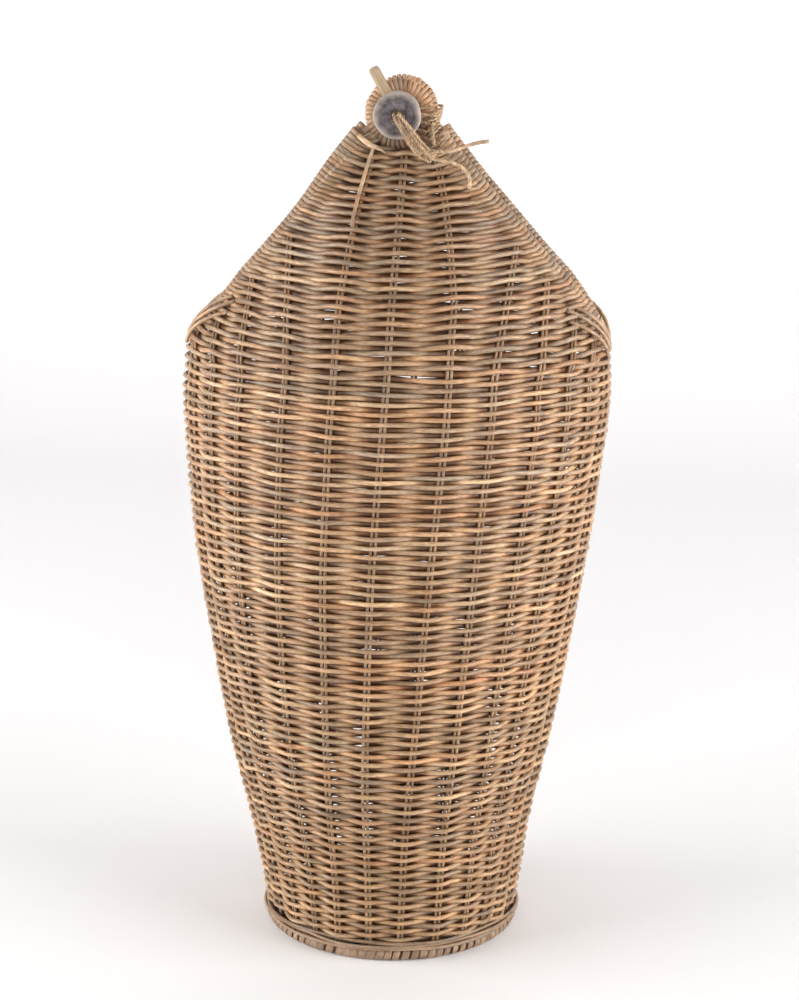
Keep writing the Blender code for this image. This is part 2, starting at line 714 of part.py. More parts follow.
def peg_mesh():
    """A whittled stick with eased ends, in a frame whose +Z runs up the peg."""
    low, high = -PEG_BELOW, PEG_ABOVE
    eased = PEG_RADIUS - PEG_CHAMFER
    profile = ((eased, low), (PEG_RADIUS, low + PEG_CHAMFER), (PEG_RADIUS, high - PEG_CHAMFER), (eased, high))
    sides = 12
    return loft("peg", [
        [(radius * cos(2 * pi * i / sides), radius * sin(2 * pi * i / sides), z) for i in range(sides)]
        for radius, z in profile
    ])


def button_profile():
    """Half section of the button: radius, and height above its back face."""
    hole, rim = BUTTON_HOLE_RADIUS, BUTTON_RADIUS
    ease = BUTTON_ROUND
    top = BUTTON_THICKNESS
    points = [(hole, BUTTON_HOLE_EASE), (hole + BUTTON_HOLE_EASE, 0.0), (rim - ease, 0.0)]
    for step in range(1, 3):
        angle = -pi / 2 + pi / 2 * step / 2
        points.append((rim - ease + ease * cos(angle), ease + ease * sin(angle)))
    for step in range(0, 3):
        angle = pi / 2 * step / 2
        points.append((rim - ease + ease * cos(angle), top - ease + ease * sin(angle)))
    inner = rim - BUTTON_RIM_WIDTH
    points.append((inner, top - BUTTON_DISH / 2))
    points.append((inner - BUTTON_RIM_WIDTH, top - BUTTON_DISH))
    points.append((hole, top - BUTTON_DISH))
    return points


def button_mesh():
    """A dished wooden disc turned round its hole, in a frame whose -Y is the face."""
    rings = []
    for step in range(BUTTON_SEGMENTS):
        angle = 2 * pi * step / BUTTON_SEGMENTS
        rings.append([(r * cos(angle), -h, r * sin(angle)) for r, h in button_profile()])
    return loft("button", rings, closed=True)


def add_closure(peg_wood, button_wood):
    """The peg and the button, each with its origin on its joint's axis."""
    peg = add_object("peg", peg_mesh(), peg_wood, (0.0, -PEG_DEPTH, RING_HEIGHT))
    peg.rotation_euler = (0.0, -(pi / 2 - PEG_TILT), 0.0)
    add_object("button", button_mesh(), button_wood, (0.0, -BUTTON_BACK_DEPTH, RING_HEIGHT))


# Twine

def place(x, depth, z):
    """A point of the closure: metres right of and above the ring's middle, and towards the viewer."""
    return (x, -depth, RING_HEIGHT + z)


KNOT_CENTRE = np.array(place(19.5 * MM, 34.7 * MM, -22.5 * MM))

# Routes that follow no rule, chosen by hand: right, towards the viewer, above the ring's middle
UPPER_STRAND_ROUTE = (
    (15.4, 36.3, -17.4), (12.5, 36.4, -14.0), (8.5, 36.4, -8.5), (4.6, 36.4, -2.6), (2.3, 35.8, 0.4), (1.35, 33.6, 0.8),
    (1.35, 30.0, 0.8), (1.65, 28.0, 0.95), (2.8, 26.1, 1.6), (4.2, 23.6, 2.4), (4.8, 20.2, 2.6), (4.8, 12.0, 2.4),
    (4.8, 0.0, 2.0), (5.0, -12.0, 1.6), (6.4, -19.4, 0.8), (9.6, -23.4, 0.0), (14.6, -24.2, -0.4),
)
LOWER_STRAND_ROUTE = (
    (13.2, 34.7, -18.9), (9.6, 35.6, -16.4), (5.4, 36.4, -11.6), (1.4, 36.4, -5.6), (-1.0, 35.8, -1.6), (-1.35, 33.6, -0.8),
    (-1.35, 30.0, -0.8), (-1.65, 28.0, -0.95), (-2.8, 26.1, -1.6), (-4.2, 23.6, -2.4), (-4.8, 20.2, -2.6),
    (-4.6, 12.0, -3.0),
    (-3.6, 0.0, -3.6), (-1.6, -12.0, -4.4), (1.4, -19.4, -5.0), (6.4, -23.6, -5.4), (14.6, -24.2, -5.4),
)
BRIDLE_ROUTE = ((22.4, 32.9, -17.0), (21.6, 31.0, -13.0), (20.8, 27.0, -8.6), (20.4, 22.7, -4.8))
LONG_TAIL_ROUTE = (
    (25.8, 34.7, -18.9), (29.6, 33.6, -19.8), (34.2, 31.6, -20.2), (39.2, 29.6, -20.0),
    (44.4, 28.3, -19.2), (49.6, 28.0, -18.2), (57.0, 28.8, -17.6),
)
SHORT_TAIL_ROUTE = (
    (22.5, 33.0, -28.1), (26.0, 33.0, -30.4), (30.5, 32.4, -32.4), (35.2, 31.4, -34.2),
    (39.4, 30.8, -37.2), (41.6, 31.4, -41.4), (41.2, 33.2, -48.6),
)


def twine_tube(name, route, material):
    """A length of twine as a beveled curve with filled ends."""
    route = [place(x * MM, depth * MM, z * MM) for x, depth, z in route]
    points = smooth_route(route, TWINE_STATION)
    curve = bpy.data.curves.new(name, "CURVE")
    curve.dimensions = "3D"
    curve.bevel_depth = TWINE_RADIUS
    curve.bevel_resolution = 2
    curve.use_fill_caps = True
    spline = curve.splines.new("POLY")
    spline.points.add(len(points) - 1)
    for target, point in zip(spline.points, points):
        target.co = (*point, 1.0)
    curve.materials.append(material)
    item = bpy.data.objects.new(name, curve)
    bpy.context.collection.objects.link(item)
    length = np.linalg.norm(np.diff(points, axis=0), axis=1).sum()
    print(f"{name}: {length / MM:.1f} mm of twine")


def twine_lashing_mesh():
    """Twine wound round the right-hand sides of both rings."""
    reach = RING_WOUND_RADIUS + SEAT_GAP + TWINE_RADIUS
    half_width = reach + TWINE_LASHING_SPREAD / 2
    half_depth = RING_PLANE_DEPTH + reach
    middle = RING_MEAN_RADIUS - TWINE_LASHING_SPREAD / 2
    corner = 2 * TWINE_RADIUS
    rise = TWINE_LASHING_TURNS * TWINE_LASHING_PITCH
    outline = []
    for sx, sy in ((1, -1), (1, 1), (-1, 1), (-1, -1)):
        start = {(1, -1): -90.0, (1, 1): 0.0, (-1, 1): 90.0, (-1, -1): 180.0}[sx, sy]
        for share in (0.0, 0.5, 1.0):
            angle = radians(start + 90.0 * share)
            outline.append((middle + sx * (half_width - corner) + corner * cos(angle),
                            sy * (half_depth - corner) + corner * sin(angle)))
    centres, normals = [], []
    steps = TWINE_LASHING_TURNS * TWINE_TURN_POINTS
    for step in range(steps - 1):
        x, y = outline[(step + TWINE_TURN_POINTS // 2) % TWINE_TURN_POINTS]
        centres.append((x, y, RING_HEIGHT + rise * (step / steps - 1 / 2)))
        normals.append((0.0, 0.0, 1.0))
    gap = least_gap(centres, TWINE_TURN_POINTS, 2 * TWINE_RADIUS)
    print(f"twine_lashing: least gap between turns {gap / MM:.2f} mm")
    section = round_section(TWINE_RADIUS, TWINE_SIDES)
    return sweep("twine_lashing", centres, np.array(normals), section)


def knot_mesh():
    """The knot that gathers the strands, drawn as a trefoil of twine."""
    centres, normals = [], []
    for step in range(KNOT_POINTS):
        t = 2 * pi * step / KNOT_POINTS
        spot = np.array((sin(t) + 2 * sin(2 * t), -sin(3 * t), cos(t) - 2 * cos(2 * t)))
        centres.append(KNOT_CENTRE + KNOT_SCALE * spot)
        normals.append(np.array((0.0, 1.0, 0.0)))
    return sweep("twine_knot", centres, normals, round_section(TWINE_RADIUS, TWINE_SIDES), closed=True)


def add_twine(twine):
    """The twine of the closure: strands, lashing, knot and two loose tails."""
    twine_tube("twine_strand_upper", UPPER_STRAND_ROUTE, twine)
    twine_tube("twine_strand_lower", LOWER_STRAND_ROUTE, twine)
    twine_tube("twine_bridle", BRIDLE_ROUTE, twine)
    twine_tube("twine_tail_long", LONG_TAIL_ROUTE, twine)
    twine_tube("twine_tail_short", SHORT_TAIL_ROUTE, twine)
    add_object("twine_lashing", twine_lashing_mesh(), twine)
    add_object("twine_knot", knot_mesh(), twine)


def build():
    """Build the whole basket."""
    clear_scene()
    rattan = make_material("kubu_rattan", (0.40, 0.29, 0.18), 0.62)
    stake_rattan = make_material("stake_rattan", (0.33, 0.24, 0.15), 0.65)
    cane = make_material("binding_cane", (0.50, 0.37, 0.23), 0.5)
    peg_wood = make_material("peg_wood", (0.62, 0.49, 0.32), 0.6)
    button_wood = make_material("button_wood", (0.27, 0.24, 0.21), 0.55)
    twine = make_material("twine", (0.55, 0.43, 0.26), 0.85)

    add_base(rattan)
    add_object("body_weave", body_mesh(), rattan)
    for number in range(STAKE_COUNT):
        name = f"stake_{number + 1:02d}"
        add_object(name, stake_mesh(name, number), stake_rattan)
    for side, side_name in ((FRONT, "front"), (BACK, "back")):
        name = f"{side_name}_gable_weave"
        cut_stake_slots(add_object(name, gable_mesh(name, side), rattan), side)
    add_rims(rattan)
    for hand, hand_name in ((LEFT, "left"), (RIGHT, "right")):
        name = f"{hand_name}_shoulder_lashing"
        add_object(name, shoulder_lashing_mesh(name, hand), cane)
    add_rings(rattan, cane)
    add_closure(peg_wood, button_wood)
    add_twine(twine)


build()
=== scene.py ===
"""Looks of the rattan toilet roll basket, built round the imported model."""

from math import cos, pi, radians, sin

import bpy
import numpy as np
from mathutils import Matrix, Vector


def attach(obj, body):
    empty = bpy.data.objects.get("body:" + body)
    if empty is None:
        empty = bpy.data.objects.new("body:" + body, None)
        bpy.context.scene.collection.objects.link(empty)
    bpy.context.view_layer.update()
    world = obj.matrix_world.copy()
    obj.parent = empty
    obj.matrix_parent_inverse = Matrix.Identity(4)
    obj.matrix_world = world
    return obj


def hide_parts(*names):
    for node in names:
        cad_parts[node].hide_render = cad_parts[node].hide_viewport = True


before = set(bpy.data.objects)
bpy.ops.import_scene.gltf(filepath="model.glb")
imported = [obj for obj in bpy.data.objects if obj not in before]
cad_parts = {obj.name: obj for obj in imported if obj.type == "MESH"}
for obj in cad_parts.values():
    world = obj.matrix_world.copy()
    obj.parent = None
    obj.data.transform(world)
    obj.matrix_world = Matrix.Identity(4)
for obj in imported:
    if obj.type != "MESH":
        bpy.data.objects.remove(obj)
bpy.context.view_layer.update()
rng = np.random.default_rng(11)

MM = 0.001
UP = np.array((0.0, 0.0, 1.0))
INWARD = np.array((0.0, 1.0, 0.0))
SIDES = ((-1, "front"), (1, "back"))
HANDS = ((-1, "left"), (1, "right"))

# Sizes shared with the solids
SHOULDER = 375.0 * MM
SHOULDER_HALF_WIDTH = 132.0 * MM
HALF_WALL = 4.2 * MM
RING_HEIGHT = 517.7 * MM
RISE = RING_HEIGHT - SHOULDER
STAKES = 26
HALF = STAKES // 2
SIDE_STAKES = 6  # stakes of a gable on each side of its middle one
HOOP_RADIUS = 77.5 * MM
RING_DEPTH = 15.5 * MM

# Cane and the paths of the rows
ROD = 0.95 * MM
ROD_SPREAD = 1.22 * MM
WEAVER_TALL = 1.47 * MM
WEAVER_THICK = 1.45 * MM
SWING = 2.45 * MM
PER_STAKE = 9


# Smooth tables and the shapes of the walls

def table(x, xs, ys):
    """Smooth curve through the points (xs, ys), for an array of x."""
    xs, ys = np.asarray(xs, float), np.asarray(ys, float)
    slopes = np.gradient(ys, xs)
    x = np.asarray(x, float)
    i = np.clip(np.searchsorted(xs, x) - 1, 0, len(xs) - 2)
    span = xs[i + 1] - xs[i]
    t = np.clip((x - xs[i]) / span, 0.0, 1.0)
    start = (1 + 2 * t) * (1 - t) ** 2 * ys[i] + t * (1 - t) ** 2 * span * slopes[i]
    return start + ease(t) * ys[i + 1] + t * t * (t - 1) * span * slopes[i + 1]


def body_width(z):
    return SHOULDER_HALF_WIDTH * table(z / SHOULDER, (0, .17, .35, .5, .67, .83, .92, 1),
                                       (.606, .682, .795, .871, .947, .993, 1.011, 1))


def body_depth(z):
    return body_width(z) * table(z / SHOULDER, (0, .35, .7, 1), (1, .97, .90, .84))


def wall_shift(z):
    """How far the wall bulges to the left of the foot's middle."""
    return -2.5 * MM * table(z / SHOULDER, (0, .06, .25, .45, .7, .9, 1), (0, 0, .8, 1, 1, .3, 0))


def body_at(angle, z):
    """Points on the middle of the body's wall."""
    angle, z = np.broadcast_arrays(angle, z)
    return np.stack([wall_shift(z) + (body_width(z) - HALF_WALL) * np.sin(angle),
                     -(body_depth(z) - HALF_WALL) * np.cos(angle), z], -1)


def gable_at(side, turn, z):
    """Points on the middle of a gable's weave; the turn runs from edge to edge."""
    turn, z = np.broadcast_arrays(turn, z)
    share = np.maximum((z - SHOULDER) / RISE, 0.0)
    left, right = edge_widths(z)
    across = np.sin(turn)
    width = (left * (1 - across) + right * (1 + across)) / 2
    edge = 18.0 * MM * table(share, (0, .1, .2, .3, .6, 1), (.67, .75, .86, .97, 1, .9))
    crown = table(share, (0, .15, .35, .55, .7, .8, .84, 1), (1, .9, .69, .44, .25, .148, .128, .128))
    crown = crown * (body_depth(SHOULDER) - HALF_WALL)
    power = 1 + np.minimum(share / 0.3, 1.0)
    depth = edge + (crown - edge) * np.maximum(np.cos(turn), 0.0) ** power
    return np.stack([width * across, side * depth, z], -1)


def edge_widths(z):
    """Distances of a gable's left and right edges from the middle plane."""
    share, rises = (z - SHOULDER) / RISE, (0, .05, .21, .42, .6, .75, 1)
    left = table(share, rises, (.966, .936, .785, .583, .417, .294, .091))
    right = table(share, rises, (.970, .950, .845, .634, .455, .300, .091))
    return SHOULDER_HALF_WIDTH * left, SHOULDER_HALF_WIDTH * right


def unit(v):
    return v / np.maximum(np.linalg.norm(v, axis=-1, keepdims=True), 1e-12)


def ease(t):
    """Smooth step from 0 to 1."""
    return t * t * (3 - 2 * t)


def lengths_along(path):
    """Length from a path's start to each of its points."""
    return np.concatenate(([0.0], np.cumsum(np.linalg.norm(np.diff(path, axis=0), axis=1))))


def directions(path, closed=False):
    """Directions along a path."""
    return unit(np.roll(path, -1, 0) - np.roll(path, 1, 0) if closed else np.gradient(path, axis=0))


def sample(stations, run, path, curve=np.interp):
    """Points of a path at given lengths along it."""
    return np.stack([curve(stations, run, column) for column in path.T], -1)


def between(angle, a, b):
    """Directions at an angle from a towards b."""
    return np.cos(angle)[:, None] * a + np.sin(angle)[:, None] * b


def round_foot(angle):
    """Level directions away from the middle, from the front round to the right."""
    return np.stack([np.sin(angle), -np.cos(angle), np.zeros(len(angle))], -1)


def normals_of(at, a, z, sign=1.0):
    """Outward normals of a surface given by a function of two values."""
    da, dz = 1e-3, 0.3 * MM
    across = at(a + da, z) - at(a - da, z)
    up = at(a, z + dz) - at(a, z - dz)
    return unit(np.cross(across, up)) * sign


def gable_normals(side, turn, z):
    return normals_of(lambda a, h: gable_at(side, a, h), turn, z, -side)


# Colours, as linear values

def linear(code):
    value = np.array([int(code[i:i + 2], 16) / 255 for i in (0, 2, 4)])
    return np.where(value <= 0.04045, value / 12.92, ((value + 0.055) / 1.055) ** 2.4)


STRAW = linear("D3B591")
TAN = linear("B8926D")
BROWN = linear("9C7A5D")
GREY = linear("A08D7C")
DARK = linear("77583F")
ORANGE = linear("BC8255")
PALETTE = np.array([TAN, STRAW, BROWN, GREY, DARK, ORANGE])
WEIGHTS = np.array([.34, .18, .21, .17, .05, .05])
AVERAGE = WEIGHTS @ PALETTE


def weights_at(height):
    """More orange cane in a band below the shoulder, more straw lower down."""
    orange = 0.22 * np.exp(-((height - 0.305) / 0.028) ** 2) + 0.12 * np.exp(-((height - 0.10) / 0.012) ** 2)
    straw = 0.5 * np.exp(-((height - 0.16) / 0.022) ** 2)
    return WEIGHTS + np.array((0, straw, 0, 0, 0, orange))


def strand_colour(weights=WEIGHTS):
    """One weaver's own colour."""
    pick, other = (PALETTE[rng.choice(len(PALETTE), p=weights / weights.sum())] for _ in range(2))
    return (0.34 * pick + 0.18 * other + 0.48 * AVERAGE) * rng.uniform(0.84, 1.16)


def wander(count, knots, amount, closed=False):
    """Slow random drift along a path."""
    values = rng.normal(0.0, amount, knots + 1)
    if closed:
        values[-1] = values[0]
    x = np.linspace(0, knots, count)
    i = np.minimum(x.astype(int), knots - 1)
    t = ease(x - i)
    return values[i] * (1 - t) + values[i + 1] * t


LONG = 5.0  # a length that gives a rod many changes of colour


def strand_tints(count, length, closed=False, weights=WEIGHTS):
    """Colours along a woven path, which is made of several weavers joined end to end."""
    pieces = max(1, int(round(length / rng.uniform(0.25, 0.6))))
    cuts = np.sort(rng.uniform(0, count, pieces - 1)).astype(int)
    tints = np.empty((count, 3))
    start = 0
    for cut in [*cuts, count]:
        tints[start:cut] = strand_colour(weights)
        start = cut
    drift = 1 + wander(count, max(2, int(length / 0.035)), 0.10, closed)
    warm = wander(count, max(2, int(length / 0.06)), 0.045, closed)
    tints = tints * drift[:, None]
    tints[:, 0] *= 1 + warm
    tints[:, 2] *= 1 - warm
    return np.clip(tints, 0.01, 1.0)


# Meshes made of many tubes

class Tubes:
    """Collects tubes, each with its colour along it, and makes one mesh of them."""

    def __init__(self, sides=8):
        self.sides = sides
        self.points, self.tints, self.grains, self.quads, self.caps = [], [], [], [], []
        self.size = 0

    def add(self, path, outward, wide, thick, tints, closed=False):
        path = np.asarray(path, float)
        count = len(path)
        ahead = directions(path, closed)
        outward = np.broadcast_to(outward, path.shape)
        out = unit(outward - (outward * ahead).sum(-1, keepdims=True) * ahead)
        side = np.cross(ahead, out)
        angle = 2 * pi * (np.arange(self.sides) + 0.5) / self.sides
        c, s = np.cos(angle), np.sin(angle)
        wide, thick = (np.broadcast_to(size, count)[:, None, None] for size in (wide, thick))
        ring = path[:, None] + c[:, None] * wide * side[:, None] + s[:, None] * thick * out[:, None]
        run = lengths_along(path)
        # Across the strand in two directions, then along it in millimetres
        grain = np.broadcast_arrays(c, s, (run * 1000 + rng.uniform(0, 5000))[:, None])
        self.points.append(ring.reshape(-1, 3))
        self.grains.append(np.stack(grain, -1).reshape(-1, 3))
        self.tints.append(np.repeat(np.broadcast_to(tints, (count, 3)), self.sides, axis=0))
        i = np.arange(count if closed else count - 1)[:, None] * self.sides
        nxt = (i + self.sides) % (count * self.sides)
        j = np.arange(self.sides)[None]
        k = (j + 1) % self.sides
        self.quads.append(np.stack([i + j, i + k, nxt + k, nxt + j], -1).reshape(-1, 4) + self.size)
        if not closed:
            self.caps.append(self.size + np.arange(self.sides)[::-1])
            self.caps.append(self.size + (count - 1) * self.sides + np.arange(self.sides))
        self.size += count * self.sides

    def make(self, name, material):
        faces = np.concatenate(self.quads).tolist() + [cap.tolist() for cap in self.caps]
        item = mesh_object(name, np.concatenate(self.points).tolist(), faces, material)
        colours = np.ones((self.size, 4), np.float32)
        colours[:, :3] = np.concatenate(self.tints)
        tint = item.data.color_attributes.new("tint", "FLOAT_COLOR", "POINT")
        tint.data.foreach_set("color", colours.reshape(-1))
        grain = item.data.attributes.new("grain", "FLOAT_VECTOR", "POINT")
        grain.data.foreach_set("vector", np.concatenate(self.grains).astype(np.float32).reshape(-1))
        return item


def add_object(name, data):
    item = bpy.data.objects.new(name, data)
    bpy.context.scene.collection.objects.link(item)
    return item


def mesh_object(name, points, faces, material):
    mesh = bpy.data.meshes.new(name)
    mesh.from_pydata(points, [], faces)
    mesh.validate()
    mesh.shade_smooth()
    mesh.materials.append(material)
    return add_object(name, mesh)


# Materials

def node_material(name):
    material = bpy.data.materials.new(name)
    material.use_nodes = True
    tree = material.node_tree
    return material, tree, tree.nodes["Principled BSDF"]


def feed(tree, node, inputs):
    """Give a node's inputs their values, or links from other nodes."""
    for key, value in inputs.items():
        if isinstance(value, bpy.types.NodeSocket):
            tree.links.new(value, node.inputs[key])
        else:
            node.inputs[key].default_value = value


def add_node(tree, kind, inputs=None, **settings):
    node = tree.nodes.new("ShaderNode" + kind)
    for key, value in settings.items():
        setattr(node, key, value)
    feed(tree, node, inputs or {})
    return node


def math_node(tree, operation, a, b):
    return add_node(tree, "Math", {0: a, 1: b}, operation=operation).outputs[0]


def map_range(tree, value, start, end, low=0.0, high=1.0):
    """Carry the range from start to end over to the one from low to high."""
    ranges = {"Value": value, "From Min": start, "From Max": end, "To Min": low, "To Max": high}
    return add_node(tree, "MapRange", ranges).outputs[0]


def colour_ramp(tree, value, *stops):
    node = add_node(tree, "ValToRGB", {"Fac": value})
    for element, (place, colour) in zip(node.color_ramp.elements, stops):
        element.position = place
        element.color = (*colour, 1.0)
    return node.outputs["Color"]


def stretched_noise(tree, place, stretch, scale, detail, roughness=0.5):
    place = add_node(tree, "Mapping", {"Vector": place, "Scale": stretch}).outputs[0]
    inputs = {"Vector": place, "Scale": scale, "Detail": detail, "Roughness": roughness}
    return add_node(tree, "TexNoise", inputs).outputs["Fac"]


def add_relief(tree, shader, height, strength, distance):
    relief = add_node(tree, "Bump", {"Strength": strength, "Distance": distance, "Height": height})
    feed(tree, shader, {"Normal": relief.outputs[0]})


def strand_material(name, fibre, spots, roughness=0.52, bump=0.25, specular=0.4):
    """Cane with fibres along it and slow stains, tinted by the strand's own colour."""
    material, tree, shader = node_material(name)
    tint = add_node(tree, "Attribute", attribute_name="tint").outputs["Color"]
    grain = add_node(tree, "Attribute", attribute_name="grain").outputs["Vector"]
    fine = stretched_noise(tree, grain, (2.6, 2.6, 0.16), 1.6, 3.0)
    slow = stretched_noise(tree, grain, (0.5, 0.5, 0.07), 1.0, 4.0)
    shade = math_node(tree, "MULTIPLY", map_range(tree, fine, 0.25, 0.75, 1.0 - fibre, 1.0 + fibre),
                      map_range(tree, slow, 0.30, 0.62, 1.0 - spots, 1.12))
    colour = add_node(tree, "VectorMath", {0: tint, "Scale": shade}, operation="SCALE").outputs[0]
    feed(tree, shader, {"Base Color": colour, "Roughness": roughness, "Specular IOR Level": specular})
    add_relief(tree, shader, fine, bump, 0.4 * MM)
    return material


# Stakes

DRIFT_HEIGHTS = np.array([0.035, 0.16, 0.36])
FRONT_DRIFT = (1.7, 2.1, 1.1)
DRIFTS = {-4: (0, -1, -.5), -3: (.8, -3.8, -1.4), -2: (.3, -1.9, .1), -1: (-1.1, -.7, 0), 0: (-.3, -1, .2),
          1: (.3, 1.4, 2.5), 2: (3.1, 1.5, 1.1), 3: (4.3, 1.1, 1.4), 4: (2.3, -1.2, -.6), 5: (.2, -1.5, -3.6),
          6: (0, -1, -4.5)}


def stake_angles(z):
    """Angles of all the stakes at one height, from the one behind on the left round to it again."""
    pitch = 2 * pi / STAKES
    angles = []
    for k in range(-HALF, HALF + 1):
        drift = np.interp(z, DRIFT_HEIGHTS, DRIFTS.get(k, (0, 0, 0)))
        if -5 <= k <= 7:
            drift += np.interp(z, DRIFT_HEIGHTS, FRONT_DRIFT)
        angles.append(k * pitch + radians(-7.0) * (1 - z / SHOULDER) + radians(drift))
    return np.array(angles)


SHOULDER_ANGLES = stake_angles(SHOULDER)
# How the places of a gable's stakes close in or spread with the height, by their number from the middle
CLOSING = {1: ((0.375, 0.415, 0.44, 0.465, 0.497), (1.0, 1.0, 0.9, 0.77, 0.56)),
           2: ((0.375, 0.42, 0.45), (1.0, 1.09, 1.14))}
UNCHANGED = ((0.375, 0.55), (1.02, 1.02))


def gable_stake_x(side, z):
    """Distances of a gable's 13 stakes from the middle plane, left to right."""
    z = np.asarray(z, float)
    xs = []
    for place in range(-SIDE_STAKES, SIDE_STAKES + 1):
        angle = SHOULDER_ANGLES[place + HALF] if side < 0 else place * 2 * pi / STAKES
        start = (body_width(SHOULDER) - HALF_WALL) * sin(angle)
        xs.append(start * np.interp(z, *CLOSING.get(abs(place), UNCHANGED)))
    return np.stack(xs, -1)


def stake_edge_top(side, place):
    """Height at which a stake meets the rim of its gable, or the ring."""
    heights = np.linspace(SHOULDER, RING_HEIGHT - 24.5 * MM, 120)
    x = gable_stake_x(side, heights)[:, place + SIDE_STAKES]
    left, right = edge_widths(heights)
    inside = np.abs(x) + ROD_SPREAD < np.where(x > 0, right, left) - 0.5 * MM
    return heights[np.argmin(inside)] if not inside.all() else heights[-1]


def turn_for(x, z):
    """The turn at which a gable is x away from the middle plane."""
    left, right = edge_widths(z)
    mean, lean = (right + left) / 2, (right - left) / 2
    across = x / mean
    for _ in range(8):
        across = x / (mean + lean * across)
    return np.arcsin(np.clip(across, -1.0, 1.0))


def stake_line(number):
    """Centres and outward directions of a stake, from the foot to the rim."""
    place = number if number <= HALF else number - STAKES
    side, near = (-1, place) if abs(place) <= SIDE_STAKES else (1, HALF - number)
    z = np.linspace(6.5 * MM, SHOULDER - 6 * MM, 44)
    angle = np.array([stake_angles(h)[place + HALF] for h in z])
    path = [body_at(angle, z)]
    out = [normals_of(body_at, angle, z)]
    top = stake_edge_top(side, near)
    if top > SHOULDER + 8 * MM:
        z = np.linspace(SHOULDER + 3 * MM, top, max(4, int((top - SHOULDER) / (5 * MM))))
        turn = turn_for(gable_stake_x(side, z)[:, near + SIDE_STAKES], z)
        path.append(gable_at(side, turn, z))
        out.append(gable_normals(side, turn, z))
    return np.concatenate(path), unit(np.concatenate(out))


def smooth_lines(path, out, step):
    """Even stations along a smooth curve through a path's points."""
    run = lengths_along(path)
    stations = np.linspace(0, run[-1], max(3, int(run[-1] / step)))
    return sample(stations, run, path, table), unit(sample(stations, run, out))


STAKE_WEIGHTS = np.array([.3, .1, .3, .25, .02, .03])
LOOSE_STAKE = 25


def add_loose_rod(tubes):
    """A rod of the first stake left of the middle, which lies over the upper rows."""
    z = np.linspace(0.447, 0.4985, 26)
    turn = turn_for(gable_stake_x(-1, z)[:, SIDE_STAKES - 1], z)
    out = gable_normals(-1, turn, z)
    lift = np.interp(z, (0.447, 0.456, 0.499), (0.4, 4.5, 4.3))[:, None] * MM
    tubes.add(gable_at(-1, turn, z) + lift * out, out, 1.1 * MM, 1.05 * MM, strand_tints(len(z), LONG))


def make_stakes(material):
    for number in range(STAKES):
        path, out = smooth_lines(*stake_line(number), 5 * MM)
        across = np.cross(directions(path), out)
        count = len(path)
        tubes = Tubes()
        for hand in (-1, 1):
            offset = hand * ROD_SPREAD * (1 + wander(count, 14, 0.10))
            middle = path + offset[:, None] * across + wander(count, 16, 0.18 * MM)[:, None] * out
            radius = ROD * (1 + wander(count, 12, 0.05))
            tubes.add(middle, out, radius, radius, strand_tints(count, LONG, weights=STAKE_WEIGHTS) * 0.8)
        if number == LOOSE_STAKE:
            add_loose_rod(tubes)
        finish(tubes.make(f"cane_stake_{number + 1:02d}", material), "stake_rattan", f"stake_{number + 1:02d}")


def finish(item, slot, *nodes, body="basket"):
    """Tie a piece to its body and hide the solids that it stands for; the slot is not used."""
    if nodes:
        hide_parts(*nodes)
    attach(item, body)


# Body weave

SWAYS = ((.50, 2, 28, .4), (.38, 5, -47, 1.9), (.30, 9, 95, 4.0), (.22, 15, -170, 2.2))


def sway(angle, z):
    """Slow wander of the rows' height, which neighbours share."""
    total = 0.0
    for amount, turns, rate, phase in SWAYS:
        total = total + amount * MM * np.sin(turns * angle + rate * z + phase)
    return total * np.clip((z - 12 * MM) / (30 * MM), 0.0, 1.0)


def over_under(u, row):
    """Nearly straight from stake to stake, with a bend at each."""
    return np.arcsin(0.94 * np.cos(pi * u) * (-1) ** row) / np.arcsin(0.94)


def painted_recess_shade(phase, depth=1.0):
    """Painted shade: cane behind a stake is darker and browner, where the stake and the rows beside it shade it."""
    deep = np.clip(-phase * 1.5, 0.0, 1.0)[:, None]
    return (1 - ease(deep) * 0.66 * depth) ** np.array((1.0, 1.35, 1.85))


def tone_by_height(z):
    """The cane is darker and browner near the foot, and darker up the gables."""
    heights = (0.0, 0.05, 0.12, 0.25, 0.375, 0.43, 0.55)
    return np.stack([table(z, heights, tones) for tones in ((.81, .81, .86, .975, .97, .80, .79),
                                                            (.76, .76, .81, .95, .96, .77, .77),
                                                            (.66, .66, .72, .89, .93, .73, .73))], -1)


LOOK_UP = radians(17.0)


def settle(phase, out):
    """Small slip of the cane behind a stake along the wall, which closes the weave to a viewer above it."""
    flat = unit(out * np.array((1.0, 1.0, 0.0)))
    view = flat * cos(LOOK_UP) + UP * sin(LOOK_UP)
    slip = view / (view * out).sum(-1, keepdims=True) - out
    return -SWING * np.maximum(-phase, 0.0)[:, None] * slip


ROW_POINTS = PER_STAKE * STAKES
ROW_STAKES = np.arange(ROW_POINTS) / PER_STAKE


def row_angles(height):
    return np.interp(ROW_STAKES, np.arange(STAKES + 1), stake_angles(height))


